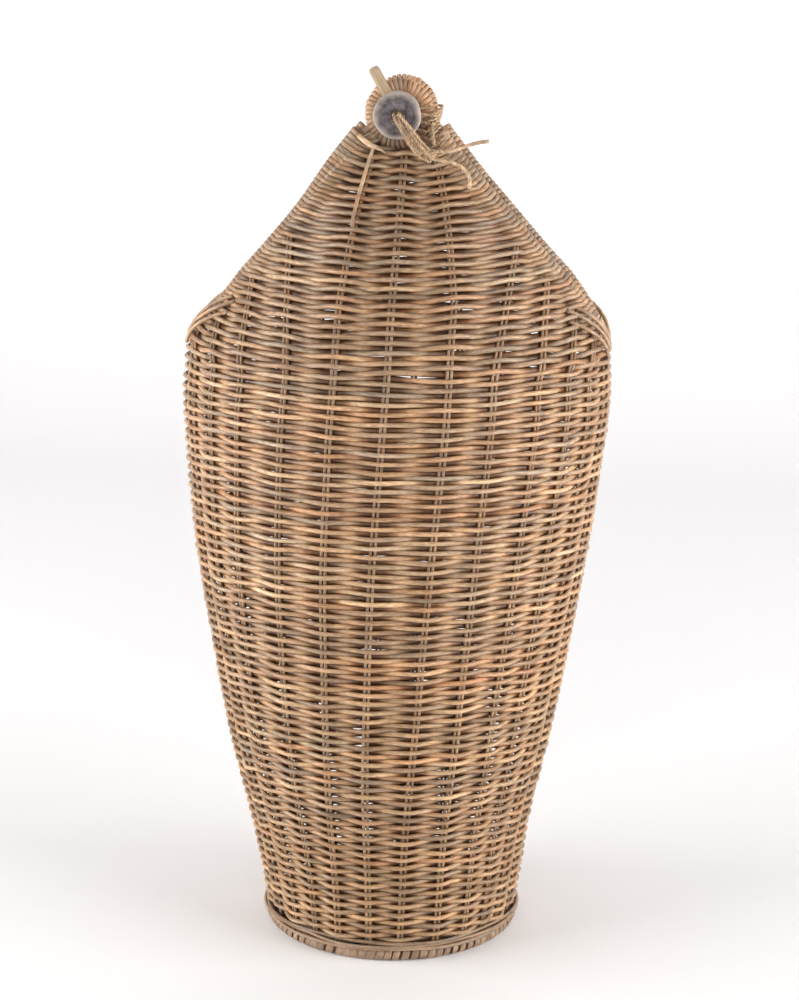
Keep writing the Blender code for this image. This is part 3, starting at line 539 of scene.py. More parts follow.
def body_row(tubes, row, height):
    """One weaver round the body, in front of and behind the stakes."""
    count, theta = ROW_POINTS, row_angles(height)
    z = height + sway(theta, height) + wander(count, 46, 0.20 * MM, True)
    phase = over_under(ROW_STAKES, row)
    swing = SWING * (1 + wander(count, 40, 0.09, True))
    out = normals_of(body_at, theta, z)
    path = body_at(theta, z) + (swing * phase)[:, None] * out + settle(phase, out)
    girth = 1 + wander(count, 30, 0.055, True)
    tall = (WEAVER_TALL - 0.10 * MM * np.maximum(phase, 0.0) + 0.55 * MM * np.maximum(-phase, 0.0)) * girth
    length = 2 * pi * body_width(np.array(height))
    # Painted shade behind the stakes, stronger lower down, times the colour by height.
    depth = float(np.interp(height, (0.05, 0.2, 0.37), (1.17, 1.12, 1.05)))
    tints = strand_tints(count, float(length), True, weights_at(height)) * painted_recess_shade(phase, depth) * tone_by_height(z)
    tubes.add(path, out, tall, WEAVER_THICK * girth, tints, True)


FOOT_SHADE = np.array((0.66, 0.68, 0.70))


CLOSING_ROD = 1.15 * MM


def closing_row(tubes, height, away, reach, shift):
    """A heavier strand that runs round outside the stakes, just above the foot hoop."""
    count, theta = ROW_POINTS, row_angles(height)
    z = height + sway(theta, height + 20 * MM) * 0.8 + wander(count, 24, 0.25 * MM, True)
    out = normals_of(body_at, theta, z)
    lift = away + reach * np.cos(2 * pi * (ROW_STAKES + shift) * 5 / STAKES) + wander(count, 30, 0.12 * MM, True)
    path = body_at(theta, z) + lift[:, None] * out
    girth = CLOSING_ROD * (1 + wander(count, 26, 0.07, True))
    tubes.add(path, out, girth, girth * 0.95, strand_tints(count, 0.5, True) * FOOT_SHADE, True)


def make_body(material):
    low, high, pitch = 14.2 * MM, 374.5 * MM, 2.86 * MM
    rows = int(round((high - low) / pitch)) + 1
    heights = np.linspace(low, high, rows)
    for number, band in enumerate(np.array_split(np.arange(rows), 4)):
        tubes = Tubes()
        if number == 0:
            for height, away, reach, shift in ((8.9, 4.5, 0.7, 0.0), (10.6, 4.0, 1.0, 2.6), (12.3, 3.2, 1.1, 1.2)):
                closing_row(tubes, height * MM, away * MM, reach * MM, shift)
        for row in band:
            body_row(tubes, int(row), heights[row])
        finish(tubes.make(f"body_rows_{number + 1}", material), "kubu_rattan", "body_weave")


# Gables

def rim_frame(side, hand, z):
    """Centre of a rim rod at a height, with its directions away from the weave and outward."""
    turn = np.full_like(z, hand * pi / 2)
    lift = 1.45 * MM
    along = unit(gable_at(side, turn, z + lift) - gable_at(side, turn, z - lift))
    face = gable_normals(side, turn * 0.985, z)
    away = -side * hand * np.cross(along, face)
    centre = gable_at(side, turn, z) + 4.3 * MM * away
    spread = ease(np.clip((z - SHOULDER) / RISE / 0.2, 0.0, 1.0))
    centre[:, 1] = side * (3.9 * MM + spread * (np.abs(centre[:, 1]) - 3.9 * MM))
    return centre, unit(away), unit(face)


RIM_TOP = 0.5035
RIM_ROD = 2.5 * MM
RIM_WRAP = 3.0 * MM
RUNNING_MEAN = np.ones(5) / 5


def row_heights(side, turn, bottom, top, rows):
    """Heights that share a gable's slope into equal steps, along one line of the same turn."""
    z = np.linspace(bottom, top, 200)
    line = gable_at(side, turn, z)
    run = lengths_along(line)
    return np.interp(np.linspace(0, run[-1], rows), run, z)


def stake_place(x, xs):
    """A place counted in stakes, which stand at xs, also beyond the first and the last."""
    if x < xs[0]:
        return (x - xs[0]) / (xs[1] - xs[0])
    if x > xs[-1]:
        return len(xs) - 1 + (x - xs[-1]) / (xs[-1] - xs[-2])
    return np.interp(x, xs, np.arange(len(xs)))


def joined(part, extra, left):
    """A row's values with those of its turn round the rim in place of the last two."""
    return np.concatenate([extra[::-1], part[2:]] if left else [part[:-2], extra])


def soften(values):
    return np.convolve(np.pad(values, 2, "edge"), RUNNING_MEAN, "valid")


def gable_row(tubes, side, row, middle, left, right):
    """One weaver across a gable, whose ends turn round the rim rods."""
    count, steps = 120, 20
    turn = np.linspace(-pi / 2, pi / 2, count)
    z = middle + (np.where(turn < 0, left, right) - middle) * np.abs(np.sin(turn)) ** 2.4
    base = gable_at(side, turn, z)
    phase = over_under(np.array([stake_place(x, xs) for x, xs in zip(base[:, 0], gable_stake_x(side, z))]), row)
    out = gable_normals(side, np.clip(turn, -1.54, 1.54), z)
    z = z + sway(turn + 3 * side, middle) * np.cos(turn) ** 2
    run = lengths_along(base)
    offset = SWING * (1 + wander(count, 24, 0.10)) * phase
    path = base + offset[:, None] * out + settle(phase, out)
    path[:, 2] += (z - base[:, 2]) + wander(count, 20, 0.2 * MM)
    arcs, bare = [], np.zeros(count)
    for hand in (-1, 1):
        edge_distance = run if hand < 0 else run[-1] - run
        blend = ease(np.clip(1.25 - edge_distance / (9 * MM), 0.0, 1.0))
        bare = np.maximum(bare, blend)
        path = path * (1 - blend[:, None]) + (base + 2.6 * MM * out) * blend[:, None]
        angle = np.linspace(radians(50), radians(380), steps)
        climb = z[0 if hand < 0 else -1] + 1.2 * MM * (angle - angle[0]) / (2 * pi)
        centre, away, face = rim_frame(side, hand, climb)
        arc_out = between(angle, -away, face)
        arcs.append((centre + RIM_WRAP * arc_out, arc_out))
    # The rows stop short of the ring
    keep = np.hypot(path[:, 0], RING_HEIGHT - path[:, 2]) > 21.6 * MM
    keep[:3] = keep[-3:] = True
    groups = np.split(np.arange(count), np.where(np.diff(keep.astype(int)) != 0)[0] + 1)
    for group in groups:
        if not keep[group[0]] or len(group) <= 3:
            continue
        points, outs = path[group], out[group]
        tall = WEAVER_TALL + 0.06 * MM + 0.75 * MM * (np.maximum(-phase[group], 0.0) * (1 - bare[group]))
        thick = np.full(len(group), WEAVER_THICK)
        # Painted shade behind the stakes, left off on the bare ends by the rim, times the colour by height.
        deep = (1 - (1 - painted_recess_shade(phase[group])) * (1 - bare[group, None])) * tone_by_height(z[group])
        for first, reached in ((True, group[0] == 0), (False, group[-1] == count - 1)):
            if reached:
                arc, arc_out = arcs[0 if first else 1]
                points, outs = joined(points, arc, first), joined(outs, arc_out, first)
                tall = joined(tall, np.full(steps, 1.66 * MM), first)
                thick = joined(thick, np.full(steps, 0.75 * MM), first)
                deep = joined(deep, np.full_like(arc, deep[2 if first else -3, 0]), first)
        tints = strand_tints(len(points), float(run[-1]) + 0.05) * deep
        tubes.add(points, outs, soften(tall), soften(thick), tints)


SHOULDER_RODS = ((0.05, 0.42, 3.0, 29.0), (0.13, 0.46, 1.5, 23.0), (0.04, 0.30, 5.5, 31.0))
GABLE_ROWS = 53


def add_rim_rods(rods, side, hand):
    """A rim's rod, its ends at the ring and the bare rods that cross the rows' ends at the shoulder."""
    z = np.linspace(SHOULDER + 3.5 * MM, RIM_TOP, 50)
    centre, _, face = rim_frame(side, hand, z)
    rods.add(centre, face, RIM_ROD, RIM_ROD, strand_tints(len(z), LONG) * 0.6)
    for across, drop, low in ((12.0, 12.0, 0.0), (12.0, 12.0, 3.2), (15.6, 6.5, 0.0)):
        end = np.array((hand * across * MM, side * RING_DEPTH, RING_HEIGHT - drop * MM))
        neck = np.linspace(centre[-5], end, 12) - low * MM * UP
        rods.add(neck, face[-1], 1.7 * MM, 1.7 * MM, strand_tints(12, LONG) * 0.6)
    share = np.linspace(0, 1, 20)
    for inner, upper, low, rise in SHOULDER_RODS:
        level = SHOULDER + (low + (rise - low) * share) * MM
        turn = hand * (pi / 2 - inner - (upper - inner) * share ** 0.8)
        normal = gable_normals(side, turn, level)
        lift = table(share, (0, 0.12, 0.8, 1), (2.6, 4.3, 4.3, 1.4)) * MM
        bare = gable_at(side, turn, level) + lift[:, None] * normal
        rods.add(bare, normal, 1.2 * MM, 1.1 * MM, strand_tints(20, LONG))


def make_gables(material):
    for side, name in SIDES:
        tubes = Tubes()
        middle = row_heights(side, 0.0, SHOULDER + 2.2 * MM, 498.5 * MM, GABLE_ROWS)
        left, right = (row_heights(side, edge, SHOULDER + 3.0 * MM, RIM_TOP, GABLE_ROWS) for edge in (-pi / 2, pi / 2))
        for row in range(GABLE_ROWS):
            gable_row(tubes, side, row + (side > 0), middle[row], left[row], right[row])
        finish(tubes.make(f"{name}_gable_rows", material), "kubu_rattan", f"{name}_gable_weave")
        for hand, hand_name in HANDS:
            rods = Tubes(10)
            add_rim_rods(rods, side, hand)
            finish(rods.make(f"{name}_rim_{hand_name}_wound", material), "kubu_rattan", f"{name}_rim_{hand_name}")


def make_tuck(material):
    """A split cane whose pointed end lies across the top of the front gable."""
    points = [spot(*place) for place in ((-27.0, 19.0, -11.0), (-22.6, 21.4, -14.0), (-17.8, 22.4, -17.6))]
    outs = [np.array((-0.3, -0.8, 0.5))] * len(points)
    for x, drop in ((-12.6, 21.4), (-7.6, 24.9)):
        z = np.array(RING_HEIGHT - drop * MM)
        turn = turn_for(x * MM, z)
        normal = gable_normals(-1, turn, z)
        points.append(gable_at(-1, turn, z) + 4.5 * MM * normal)
        outs.append(normal)
    path, out = smooth_lines(np.array(points), np.array(outs), 1.2 * MM)
    share = np.linspace(0, 1, len(path))
    wide = 1.75 * MM * np.minimum(1.0, 0.12 + 2.2 * (1 - share)) * np.minimum(1.0, 0.6 + 3 * share)
    tubes = Tubes()
    tubes.add(path, out, wide, 0.7 * MM, STRAW * 0.95)
    finish(tubes.make("split_cane_end", material), "kubu_rattan")


# Foot and base

FOOT_TONE = linear("7F6B5A")
FOOT_WEIGHTS = np.array([.2, .05, .3, .38, .06, .01])
FOOT_RADIUS = HOOP_RADIUS - 0.2 * MM
FOOT_HEIGHT = 4.35 * MM


def make_foot(material):
    """The foot hoop: a dark rod and the cane that is wound closely round it."""
    turns, per_turn = 92, 12
    steps = turns * per_turn
    share = np.arange(steps) / steps
    uneven = wander(turns, 46, 0.0022, True)
    radial = round_foot(2 * pi * (share + np.interp(share * turns, np.arange(turns), uneven, period=turns)))
    wind = 2 * pi * turns * share
    ray = between(wind, radial, UP)
    tubes = Tubes()
    core = FOOT_RADIUS * round_foot(np.linspace(0, 2 * pi, 180, endpoint=False)) + FOOT_HEIGHT * UP
    tubes.add(core, UP, 3.2 * MM, 3.2 * MM, DARK * 0.5, True)
    reach = 3.75 * MM * (1 + wander(steps, 300, 0.02, True))
    path = FOOT_RADIUS * radial + FOOT_HEIGHT * UP + reach[:, None] * ray
    tones = [(0.5 * strand_colour(FOOT_WEIGHTS) + 0.5 * FOOT_TONE) * rng.uniform(0.86, 1.06) for _ in range(turns)]
    wide = 2.55 * MM * (1 + wander(steps, 60, 0.16, True))
    tubes.add(path, ray, wide, 0.42 * MM, np.repeat(tones, per_turn, axis=0), True)
    finish(tubes.make("foot_wraps", material), "foot_wrap", "base_hoop")


def make_base(weave, stakes):
    """The woven base, with its two layers of crossing sticks."""
    tubes = Tubes(6)
    spokes, per_spoke = 26, 8
    count = spokes * per_spoke
    u = np.arange(count) / per_spoke
    for row, radius in enumerate(np.arange(16.5 * MM, 73.5 * MM, 3.0 * MM)):
        height = 12.1 * MM + over_under(u, row) * 1.35 * MM
        path = radius * round_foot(2 * pi * u / spokes) + height[:, None] * UP
        tubes.add(path, UP, 1.5 * MM, 1.1 * MM, strand_tints(count, float(radius) * 6, True), True)
    finish(tubes.make("base_rows", weave), "kubu_rattan", "base_weave")
    run = np.linspace(-70 * MM, 70 * MM, 30)
    for name, z, turned in (("base_cross_lower", 6.9 * MM, False), ("base_cross_upper", 17.6 * MM, True)):
        rods = Tubes(10)
        for i in range(6):
            path = np.stack([run, (i - 2.5) * 4.3 * MM + wander(30, 6, 0.25 * MM), np.full(30, z)], -1)
            path = path[:, [1, 0, 2]] if turned else path
            rods.add(path, UP, 2.0 * MM, 1.9 * MM, strand_tints(30, LONG))
        finish(rods.make(f"{name}_rods", stakes), "kubu_rattan", name)


# Shoulder lashings, rings

def make_lashings(material):
    """Flat cane wound round both rims at each shoulder corner."""
    turns = 9
    steps = turns * 24
    share = np.arange(steps) / steps
    place = 1.5 * MM + share * 17 * MM
    wind = 2 * pi * turns * share
    c, s = np.cos(wind)[:, None], np.sin(wind)[:, None]
    ends = np.clip(0.35 + 5 * np.minimum(share, 1 - share), 0.0, 1.0)[:, None]
    z = np.linspace(SHOULDER + 3.5 * MM, 0.42, 60)
    for hand, name in HANDS:
        front, back = (rim_frame(side, hand, z)[0] for side in (-1, 1))
        middle = (front + back) / 2
        run = lengths_along(middle)
        centre = sample(place, run, middle)
        half = np.interp(place, run, np.abs(front[:, 1] - middle[:, 1]))
        along = unit(sample(place + 3 * MM, run, middle) - centre)
        up = unit(np.cross(INWARD, along)) * hand
        wide = (half + 4.0 * MM)[:, None] * (0.7 + 0.3 * ends)
        path = centre + wide * np.sign(c) * np.abs(c) ** 0.8 * INWARD + 4.2 * MM * ends * s * up
        tubes = Tubes()
        tints = strand_tints(steps, 0.6) * (0.9 if hand < 0 else 1.1)
        tubes.add(path, between(wind, INWARD, up), 1.0 * MM, 0.5 * MM, tints)
        finish(tubes.make(f"{name}_corner_cane", material), "binding_cane", f"{name}_shoulder_lashing")


BAND_RADIUS = 16.1 * MM


def upright(angle):
    """Directions in the plane of the rings."""
    return np.stack([np.cos(angle), np.zeros(len(angle)), np.sin(angle)], -1)


def make_rings(weave, cane):
    turns, per_turn = 40, 16
    steps = turns * per_turn
    share = np.arange(steps) / steps
    radial = upright(2 * pi * share - pi / 2)
    wind = 2 * pi * turns * share
    ray = between(wind, 4.4 * radial, 3.0 * INWARD)
    hoop = upright(np.linspace(0, 2 * pi, 96, endpoint=False))
    for side, name in SIDES:
        place = np.array((0.0, side * RING_DEPTH, RING_HEIGHT))
        core = Tubes(10)
        core.add(place + BAND_RADIUS * hoop, hoop, 2.5 * MM, 3.9 * MM, strand_tints(96, LONG, True) * 0.5, True)
        finish(core.make(f"{name}_ring_rod", weave), "kubu_rattan", f"{name}_ring")
        reach = MM * (1 + wander(steps, 120, 0.03, True))
        path = place + BAND_RADIUS * radial + reach[:, None] * ray
        wide = 1.36 * MM * (1 + wander(steps, 90, 0.08, True))
        tints = strand_tints(steps, 1.0, True) * (1 + wander(steps, turns, 0.09, True))[:, None]
        # Painted shade: the wraps of each ring's lower arc are darkened, down to half at the bottom.
        tints = tints * np.interp(radial[:, 2], (-0.75, -0.2), (0.5, 1.0))[:, None]
        tubes = Tubes()
        tubes.add(path, unit(ray), wide, 0.5 * MM, tints, True)
        finish(tubes.make(f"{name}_ring_wraps", cane), "binding_cane", f"{name}_ring_binding")


# Twine

TWINE = 1.1 * MM
STRAW_TWINE = linear("C2A586")
PLY_PITCH = 3.4 * MM
HAIR_STEP = 2.4 * MM
ASKEW = np.array((0.31, 0.22, 0.93))  # along none of the cords


def spot(x, depth, z):
    """A point of the closure: right, towards the viewer and above the ring's middle, in millimetres."""
    return np.array((x * MM, -depth * MM, RING_HEIGHT + z * MM))


UPPER = ((15.4, 36.3, -17.4), (12.5, 36.4, -14.0), (8.5, 36.4, -8.5), (4.6, 36.4, -2.6), (2.3, 35.8, 0.4),
         (1.35, 33.6, 0.8), (1.35, 30.0, 0.8), (1.65, 28.0, 0.95), (2.8, 26.1, 1.6), (4.2, 23.6, 2.4),
         (4.8, 20.2, 2.6), (4.8, 12.0, 2.4), (4.8, 0, 2.0), (5.0, -12.0, 1.6), (6.4, -19.4, 0.8),
         (9.6, -23.4, 0), (14.6, -24.2, -0.4))
LOWER = ((13.2, 34.7, -18.9), (9.6, 35.6, -16.4), (5.4, 36.4, -11.6), (1.4, 36.4, -5.6), (-1.0, 35.8, -1.6),
         (-1.35, 33.6, -0.8), (-1.35, 30.0, -0.8), (-1.65, 28.0, -0.95), (-2.8, 26.1, -1.6), (-4.2, 23.6, -2.4),
         (-4.8, 20.2, -2.6), (-4.6, 12.0, -3.0), (-3.6, 0, -3.6), (-1.6, -12.0, -4.4), (1.4, -19.4, -5.0),
         (6.4, -23.6, -5.4), (14.6, -24.2, -5.4))
BRIDLE = ((22.4, 32.9, -17.0), (21.6, 31.0, -13.0), (20.8, 27.0, -8.6), (20.4, 22.7, -4.8))
LONG_TAIL = ((25.8, 34.7, -20.3), (29.4, 33.6, -20.4), (34.0, 31.6, -19.6), (38.6, 29.6, -18.2),
             (43.2, 28.3, -16.6), (48.0, 28.0, -15.2), (54.2, 28.8, -14.2))
SHORT_TAIL = ((22.5, 33.0, -25.1), (27.0, 33.0, -25.7), (32.0, 32.4, -26.5), (36.8, 31.4, -28.4),
              (41.0, 30.8, -31.6), (43.6, 31.4, -36.2), (43.4, 33.0, -42.0))
KNOT_MIDDLE = spot(19.5, 34.7, -22.5)


def route_line(route, step=0.45 * MM):
    """Even points along a smooth curve through a route."""
    points = np.array([spot(*p) for p in route])
    knots = lengths_along(points)
    dense = sample(np.linspace(0, knots[-1], 400), knots, points, table)
    run = lengths_along(dense)
    return sample(np.linspace(0, run[-1], max(4, int(run[-1] / step))), run, dense)


def add_hairs(tubes, path, radius):
    """Loose fibres that stand off a cord."""
    run = np.linalg.norm(np.diff(path, axis=0), axis=1).sum()
    for _ in range(int(run / HAIR_STEP)):
        i = int(rng.integers(1, len(path) - 1))
        ahead = unit(path[i + 1] - path[i - 1])
        ray = unit(np.cross(ahead, rng.normal(size=3)))
        lean = ahead * rng.uniform(-1.6, 1.6) + ray
        t = np.linspace(0, 1, 5)[:, None]
        length = rng.uniform(0.8, 2.4) * MM
        hair = path[i] + ray * radius * 0.8 + lean * length * t
        hair = hair + rng.normal(0, 0.25, 3) * MM * t * t
        tubes.add(hair, ray, 0.06 * MM, 0.06 * MM, STRAW_TWINE * rng.uniform(0.9, 1.3))


def add_plies(tubes, path, radius, closed=False):
    """Yarn of two twisted plies round a path, with its loose fibres."""
    count = len(path)
    ahead = directions(path, closed)
    run = lengths_along(path)
    total, pitch, twist = run[-1], PLY_PITCH, 0.0
    a = np.empty_like(path)
    previous = unit(np.cross(ahead[0], ASKEW))
    for i in range(count):
        previous = unit(previous - np.dot(previous, ahead[i]) * ahead[i])
        a[i] = previous
    if closed:
        total = total + np.linalg.norm(path[0] - path[-1])
        pitch = total / max(1, round(total / pitch))
        over = unit(a[-1] - np.dot(a[-1], ahead[0]) * ahead[0])
        twist = np.arctan2(np.dot(np.cross(over, a[0]), ahead[0]), np.dot(over, a[0]))
    b = np.cross(ahead, a)
    for start in (0.0, 0.5):
        angle = 2 * pi * (run / pitch + start) + twist * run / total
        ray = between(angle, a, b)
        width = radius * 0.52 * (1 + wander(count, max(2, int(total / (4 * MM))), 0.06, closed))
        drift = 1 + wander(count, max(2, int(total / (9 * MM))), 0.09, closed)
        tints = np.clip(STRAW_TWINE * drift[:, None] * rng.uniform(0.88, 1.08), 0, 1)
        tubes.add(path + radius * 0.46 * ray, ray, width, width, tints, closed)
    add_hairs(tubes, path, radius)


def make_tail(name, route, material):
    """A free end of the yarn: one twisted tube round its own path."""
    path = route_line(route, 0.5 * MM)
    ahead = directions(path)
    a = unit(np.cross(ahead, ASKEW))
    b = np.cross(ahead, a)
    run = lengths_along(path)
    wind = 2 * pi * run / (6.0 * MM)
    tints = STRAW_TWINE * (1 + wander(len(path), 12, 0.12))[:, None]
    tubes = Tubes(10)
    tubes.add(path, between(wind, a, b), 1.22 * MM, 0.98 * MM, tints)
    return tubes.make(name, material), path


# Further strands of the same yarn, which fan out from the hole to the knot
FANNED = (((0.2, 33.0, -0.2), (1.2, 35.4, -1.4), (3.6, 36.9, -8.4), (7.4, 37.3, -15.6), (12.2, 36.8, -21.6),
           (16.0, 35.8, -24.6), (19.0, 34.9, -25.6)),
          ((0.6, 33.0, 0.6), (2.6, 35.6, -0.6), (7.6, 37.2, -5.2), (12.6, 37.4, -11.4), (17.2, 36.6, -16.8),
           (20.6, 35.4, -20.2)),
          ((0.0, 33.0, 0.0), (1.6, 35.0, -2.0), (5.4, 35.6, -8.6), (10.4, 35.4, -15.0), (15.6, 34.8, -20.4)))


KNOT_STRANDS = (((16.4, 35.6, -20.4), (20.0, 36.6, -21.2), (23.2, 35.6, -20.5), (25.8, 34.7, -20.3)),
                ((17.0, 35.4, -21.4), (19.6, 35.2, -23.4), (21.2, 34.0, -24.6), (22.5, 33.0, -25.1)),
                ((13.6, 36.8, -16.0), (16.8, 37.6, -19.0), (19.6, 37.4, -22.4), (21.6, 36.2, -25.0)))


def make_twine(material):
    for name, route, node in (("twine_upper_plies", UPPER, "twine_strand_upper"),
                              ("twine_lower_plies", LOWER, "twine_strand_lower"),
                              ("twine_bridle_plies", BRIDLE, "twine_bridle")):
        tubes = Tubes()
        add_plies(tubes, route_line(route), TWINE)
        for strand in FANNED if route is UPPER else ():
            add_plies(tubes, route_line(strand), TWINE * 0.78)
        finish(tubes.make(name, material), "twine", node)
    for name, route in (("long", LONG_TAIL), ("short", SHORT_TAIL)):
        item, path = make_tail(f"{name}_tail_cord", route, material)
        finish(item, "twine", f"twine_tail_{name}")
    tubes = Tubes()
    t = np.linspace(0, 2 * pi, 150, endpoint=False)
    knot = np.stack([np.sin(t) + 2 * np.sin(2 * t), -np.sin(3 * t), np.cos(t) - 2 * np.cos(2 * t)], -1)
    add_plies(tubes, KNOT_MIDDLE + 1.25 * MM * knot, TWINE, closed=True)
    add_plies(tubes, KNOT_MIDDLE + 1.05 * MM * knot[:, [2, 0, 1]] * np.array((1.2, 0.8, 1.0)), TWINE, closed=True)
    for route in KNOT_STRANDS:
        add_plies(tubes, route_line(route), TWINE)
    finish(tubes.make("twine_knot_plies", material), "twine", "twine_knot")
    tubes = Tubes()
    lash_rings(tubes)
    wind_loose_turns(tubes)
    finish(tubes.make("twine_lashing_plies", material), "twine", "twine_lashing")


def lash_rings(tubes):
    """Six turns round both rings, on their right side."""
    reach, corner, turns, count = 3.6 * MM + TWINE, 2.2 * MM, 6, 900
    outline = []
    for sx, sy, start in ((1, -1, -90.0), (1, 1, 0.0), (-1, 1, 90.0), (-1, -1, 180.0)):
        for part in np.linspace(0.0, 1.0, 4):
            angle = radians(start + 90.0 * part)
            outline.append((BAND_RADIUS + sx * (reach - 1.2 * MM) + corner * cos(angle),
                            sy * (RING_DEPTH + reach - corner) + corner * sin(angle)))
    loop = np.array([*outline, outline[0]])
    run = lengths_along(loop)
    share = np.linspace(0, 1, count)
    xy = sample((share * turns % 1.0) * run[-1], run, loop)
    lift = 13 * MM * (share - 0.5) + wander(count, 24, 0.5 * MM)
    tilt = np.interp(share * turns, np.arange(turns + 1), (2, -3.5, 4.5, -4, 4, -3, 3)) * MM
    lift = lift + tilt * np.sin(2 * pi * share * turns + 0.6) - 3.2 * MM
    swell = 1 + 0.05 * (share * turns).astype(int)
    pivot = np.array((BAND_RADIUS, 0.0))
    xy = pivot + (xy - pivot) * swell[:, None]
    # Each turn follows the ring's own curve
    xy[:, 0] -= BAND_RADIUS - np.sqrt(np.maximum(BAND_RADIUS ** 2 - lift ** 2, (9 * MM) ** 2))
    path = np.stack([xy[:, 0], xy[:, 1], RING_HEIGHT + lift], -1)
    path[2:-2] = np.stack([np.convolve(path[:, i], RUNNING_MEAN, "valid") for i in range(3)], -1)
    add_plies(tubes, path, TWINE * 0.85)


def wind_loose_turns(tubes):
    """Loose turns over the neck of the front rim."""
    count = 320
    share = np.linspace(0, 1, count)
    for turns, start, swell in ((5.3, 0.4, 0.0), (3.6, 2.6, 0.9)):
        spin = start + 2 * pi * turns * share
        reach = (4.6 + swell) * np.cos(spin)
        x = 17.0 + 10.5 * share + 0.5 * np.sin(spin * 0.37) + reach * 0.75
        z = -4.0 - 13.0 * share + reach * 0.62 + wander(count, 14, 0.5)
        depth = 16.0 + (5.2 + swell) * np.sin(spin) + wander(count, 12, 0.3)
        add_plies(tubes, np.stack([x * MM, -depth * MM, RING_HEIGHT + z * MM], -1), TWINE * 0.8)


# Peg and button

def lathe(name, profile, sides, material, closed, warp):
    """Turn a profile of (radius, height) round Z and warp it."""
    profile = np.asarray(profile, float)
    angle = np.arange(sides) * 2 * pi / sides
    radius, height = warp(profile[:, :1] * np.ones(sides), profile[:, 1:] * np.ones(sides), angle)
    points = np.stack([radius * np.cos(angle), radius * np.sin(angle), height], -1).reshape(-1, 3)
    rows = len(profile)
    faces = []
    for i in range(rows if closed else rows - 1):
        for j in range(sides):
            k, n = (j + 1) % sides, (i + 1) % rows
            faces.append((i * sides + j, i * sides + k, n * sides + k, n * sides + j))
    if not closed:
        faces += [range(sides)[::-1], range((rows - 1) * sides, rows * sides)]
    return mesh_object(name, points.tolist(), faces, material)


PEG_DEPTH, PEG_LEAN = 22.635 * MM, radians(30)
BUTTON_DEPTH = 27.435 * MM


def wood_material(name, light, dark, stretch, roughness, bump):
    """Wood with grain along the piece and stains."""
    material, tree, shader = node_material(name)
    place = add_node(tree, "TexCoord").outputs["Object"]
    grain = stretched_noise(tree, place, stretch, 1.0, 6.0, 0.6)
    colour = colour_ramp(tree, grain, (0.34, dark), (0.66, light))
    feed(tree, shader, {"Base Color": colour, "Roughness": roughness})
    add_relief(tree, shader, grain, bump, 0.5 * MM)
    return material


def pale_rim(material):
    """Worn pale edge of the button, uneven where it meets the dark middle."""
    tree = material.node_tree
    shader = tree.nodes["Principled BSDF"]
    inner = shader.inputs["Base Color"].links[0].from_socket
    place = add_node(tree, "TexCoord").outputs["Object"]
    flat = add_node(tree, "Mapping", {"Vector": place, "Scale": (1.0, 1.0, 0.0)})
    radius = add_node(tree, "VectorMath", {0: flat.outputs[0]}, operation="LENGTH")
    noise = add_node(tree, "TexNoise", {"Vector": place, "Scale": 180.0, "Detail": 4.0})
    uneven = math_node(tree, "MULTIPLY", noise.outputs["Fac"], 4.5 * MM)
    ring = map_range(tree, math_node(tree, "ADD", radius.outputs["Value"], uneven), 12.6 * MM, 17.4 * MM)
    blend = add_node(tree, "Mix", {"Factor": ring, "A": inner, "B": (*linear("B3A69A"), 1.0)}, data_type="RGBA")
    feed(tree, shader, {"Base Color": blend.outputs["Result"]})


def make_closure():
    peg_wood = wood_material("whittled peg", linear("B8A182"), linear("8A745B"), (900, 900, 60), 0.6, 0.3)
    low, high = -27.0 * MM, 31.0 * MM
    profile = [(2.6 * MM, low), *((3.2 * MM, z) for z in np.linspace(low, high, 40)[1:-1]), (2.5 * MM, high)]

    def whittle(radius, height, angle):
        dent = 1 + 0.04 * np.sin(3 * angle + 90 * height) + 0.03 * np.sin(5 * angle - 160 * height)
        return radius * dent, height + 0.35 * MM * np.sin(angle) * (height > high - 1 * MM)

    peg = lathe("whittled_peg", profile, 40, peg_wood, False, whittle)
    peg.matrix_world = Matrix.Translation((0, -PEG_DEPTH, RING_HEIGHT)) @ Matrix.Rotation(-PEG_LEAN, 4, "Y")
    finish(peg, "peg_wood", "peg", body="peg")

    button_wood = wood_material("weathered button", linear("70676A"), linear("302A2A"), (260, 260, 260), 0.62, 0.5)
    pale_rim(button_wood)
    hole, rim, top, low_bend, high_bend = 3.2, 14.4, 6.0, 1.6, 1.5  # in millimetres
    profile = [(hole, 1.2), (hole + 1.2, 0.0), (rim - low_bend, 0.0)]
    profile += [(rim - low_bend + low_bend * sin(a), low_bend - low_bend * cos(a)) for a in (0.5, 1.0, pi / 2)]
    profile += [(rim - high_bend + high_bend * cos(a), top - high_bend + high_bend * sin(a))
                for a in (0, 0.4, 0.8, 1.2, pi / 2)]
    profile += [(rim - inward, top - drop) for inward, drop in ((2.3, 0.3), (3.4, 1.1), (4.6, 1.7), (7.0, 2.1))]
    profile += [(hole + outward, top - drop) for outward, drop in ((1.0, 2.2), (0.3, 2.5), (0.0, 3.1))]

    def wear(radius, height, angle):
        edge = np.clip((radius - 8 * MM) / (6 * MM), 0, 1)
        radius = radius * (1 - edge * (0.012 + 0.012 * np.sin(3 * angle + 1) + 0.008 * np.sin(7 * angle)))
        return radius, height - edge * (height > 3 * MM) * 0.25 * MM * (1 + np.sin(5 * angle + 2))

    button = lathe("weathered_button", np.array(profile) * MM, 96, button_wood, True, wear)
    button.matrix_world = Matrix.Translation((0, -BUTTON_DEPTH, RING_HEIGHT)) @ Matrix.Rotation(radians(90), 4, "X")
    finish(button, "button_wood", "button", body="button")


# Floor, light and camera

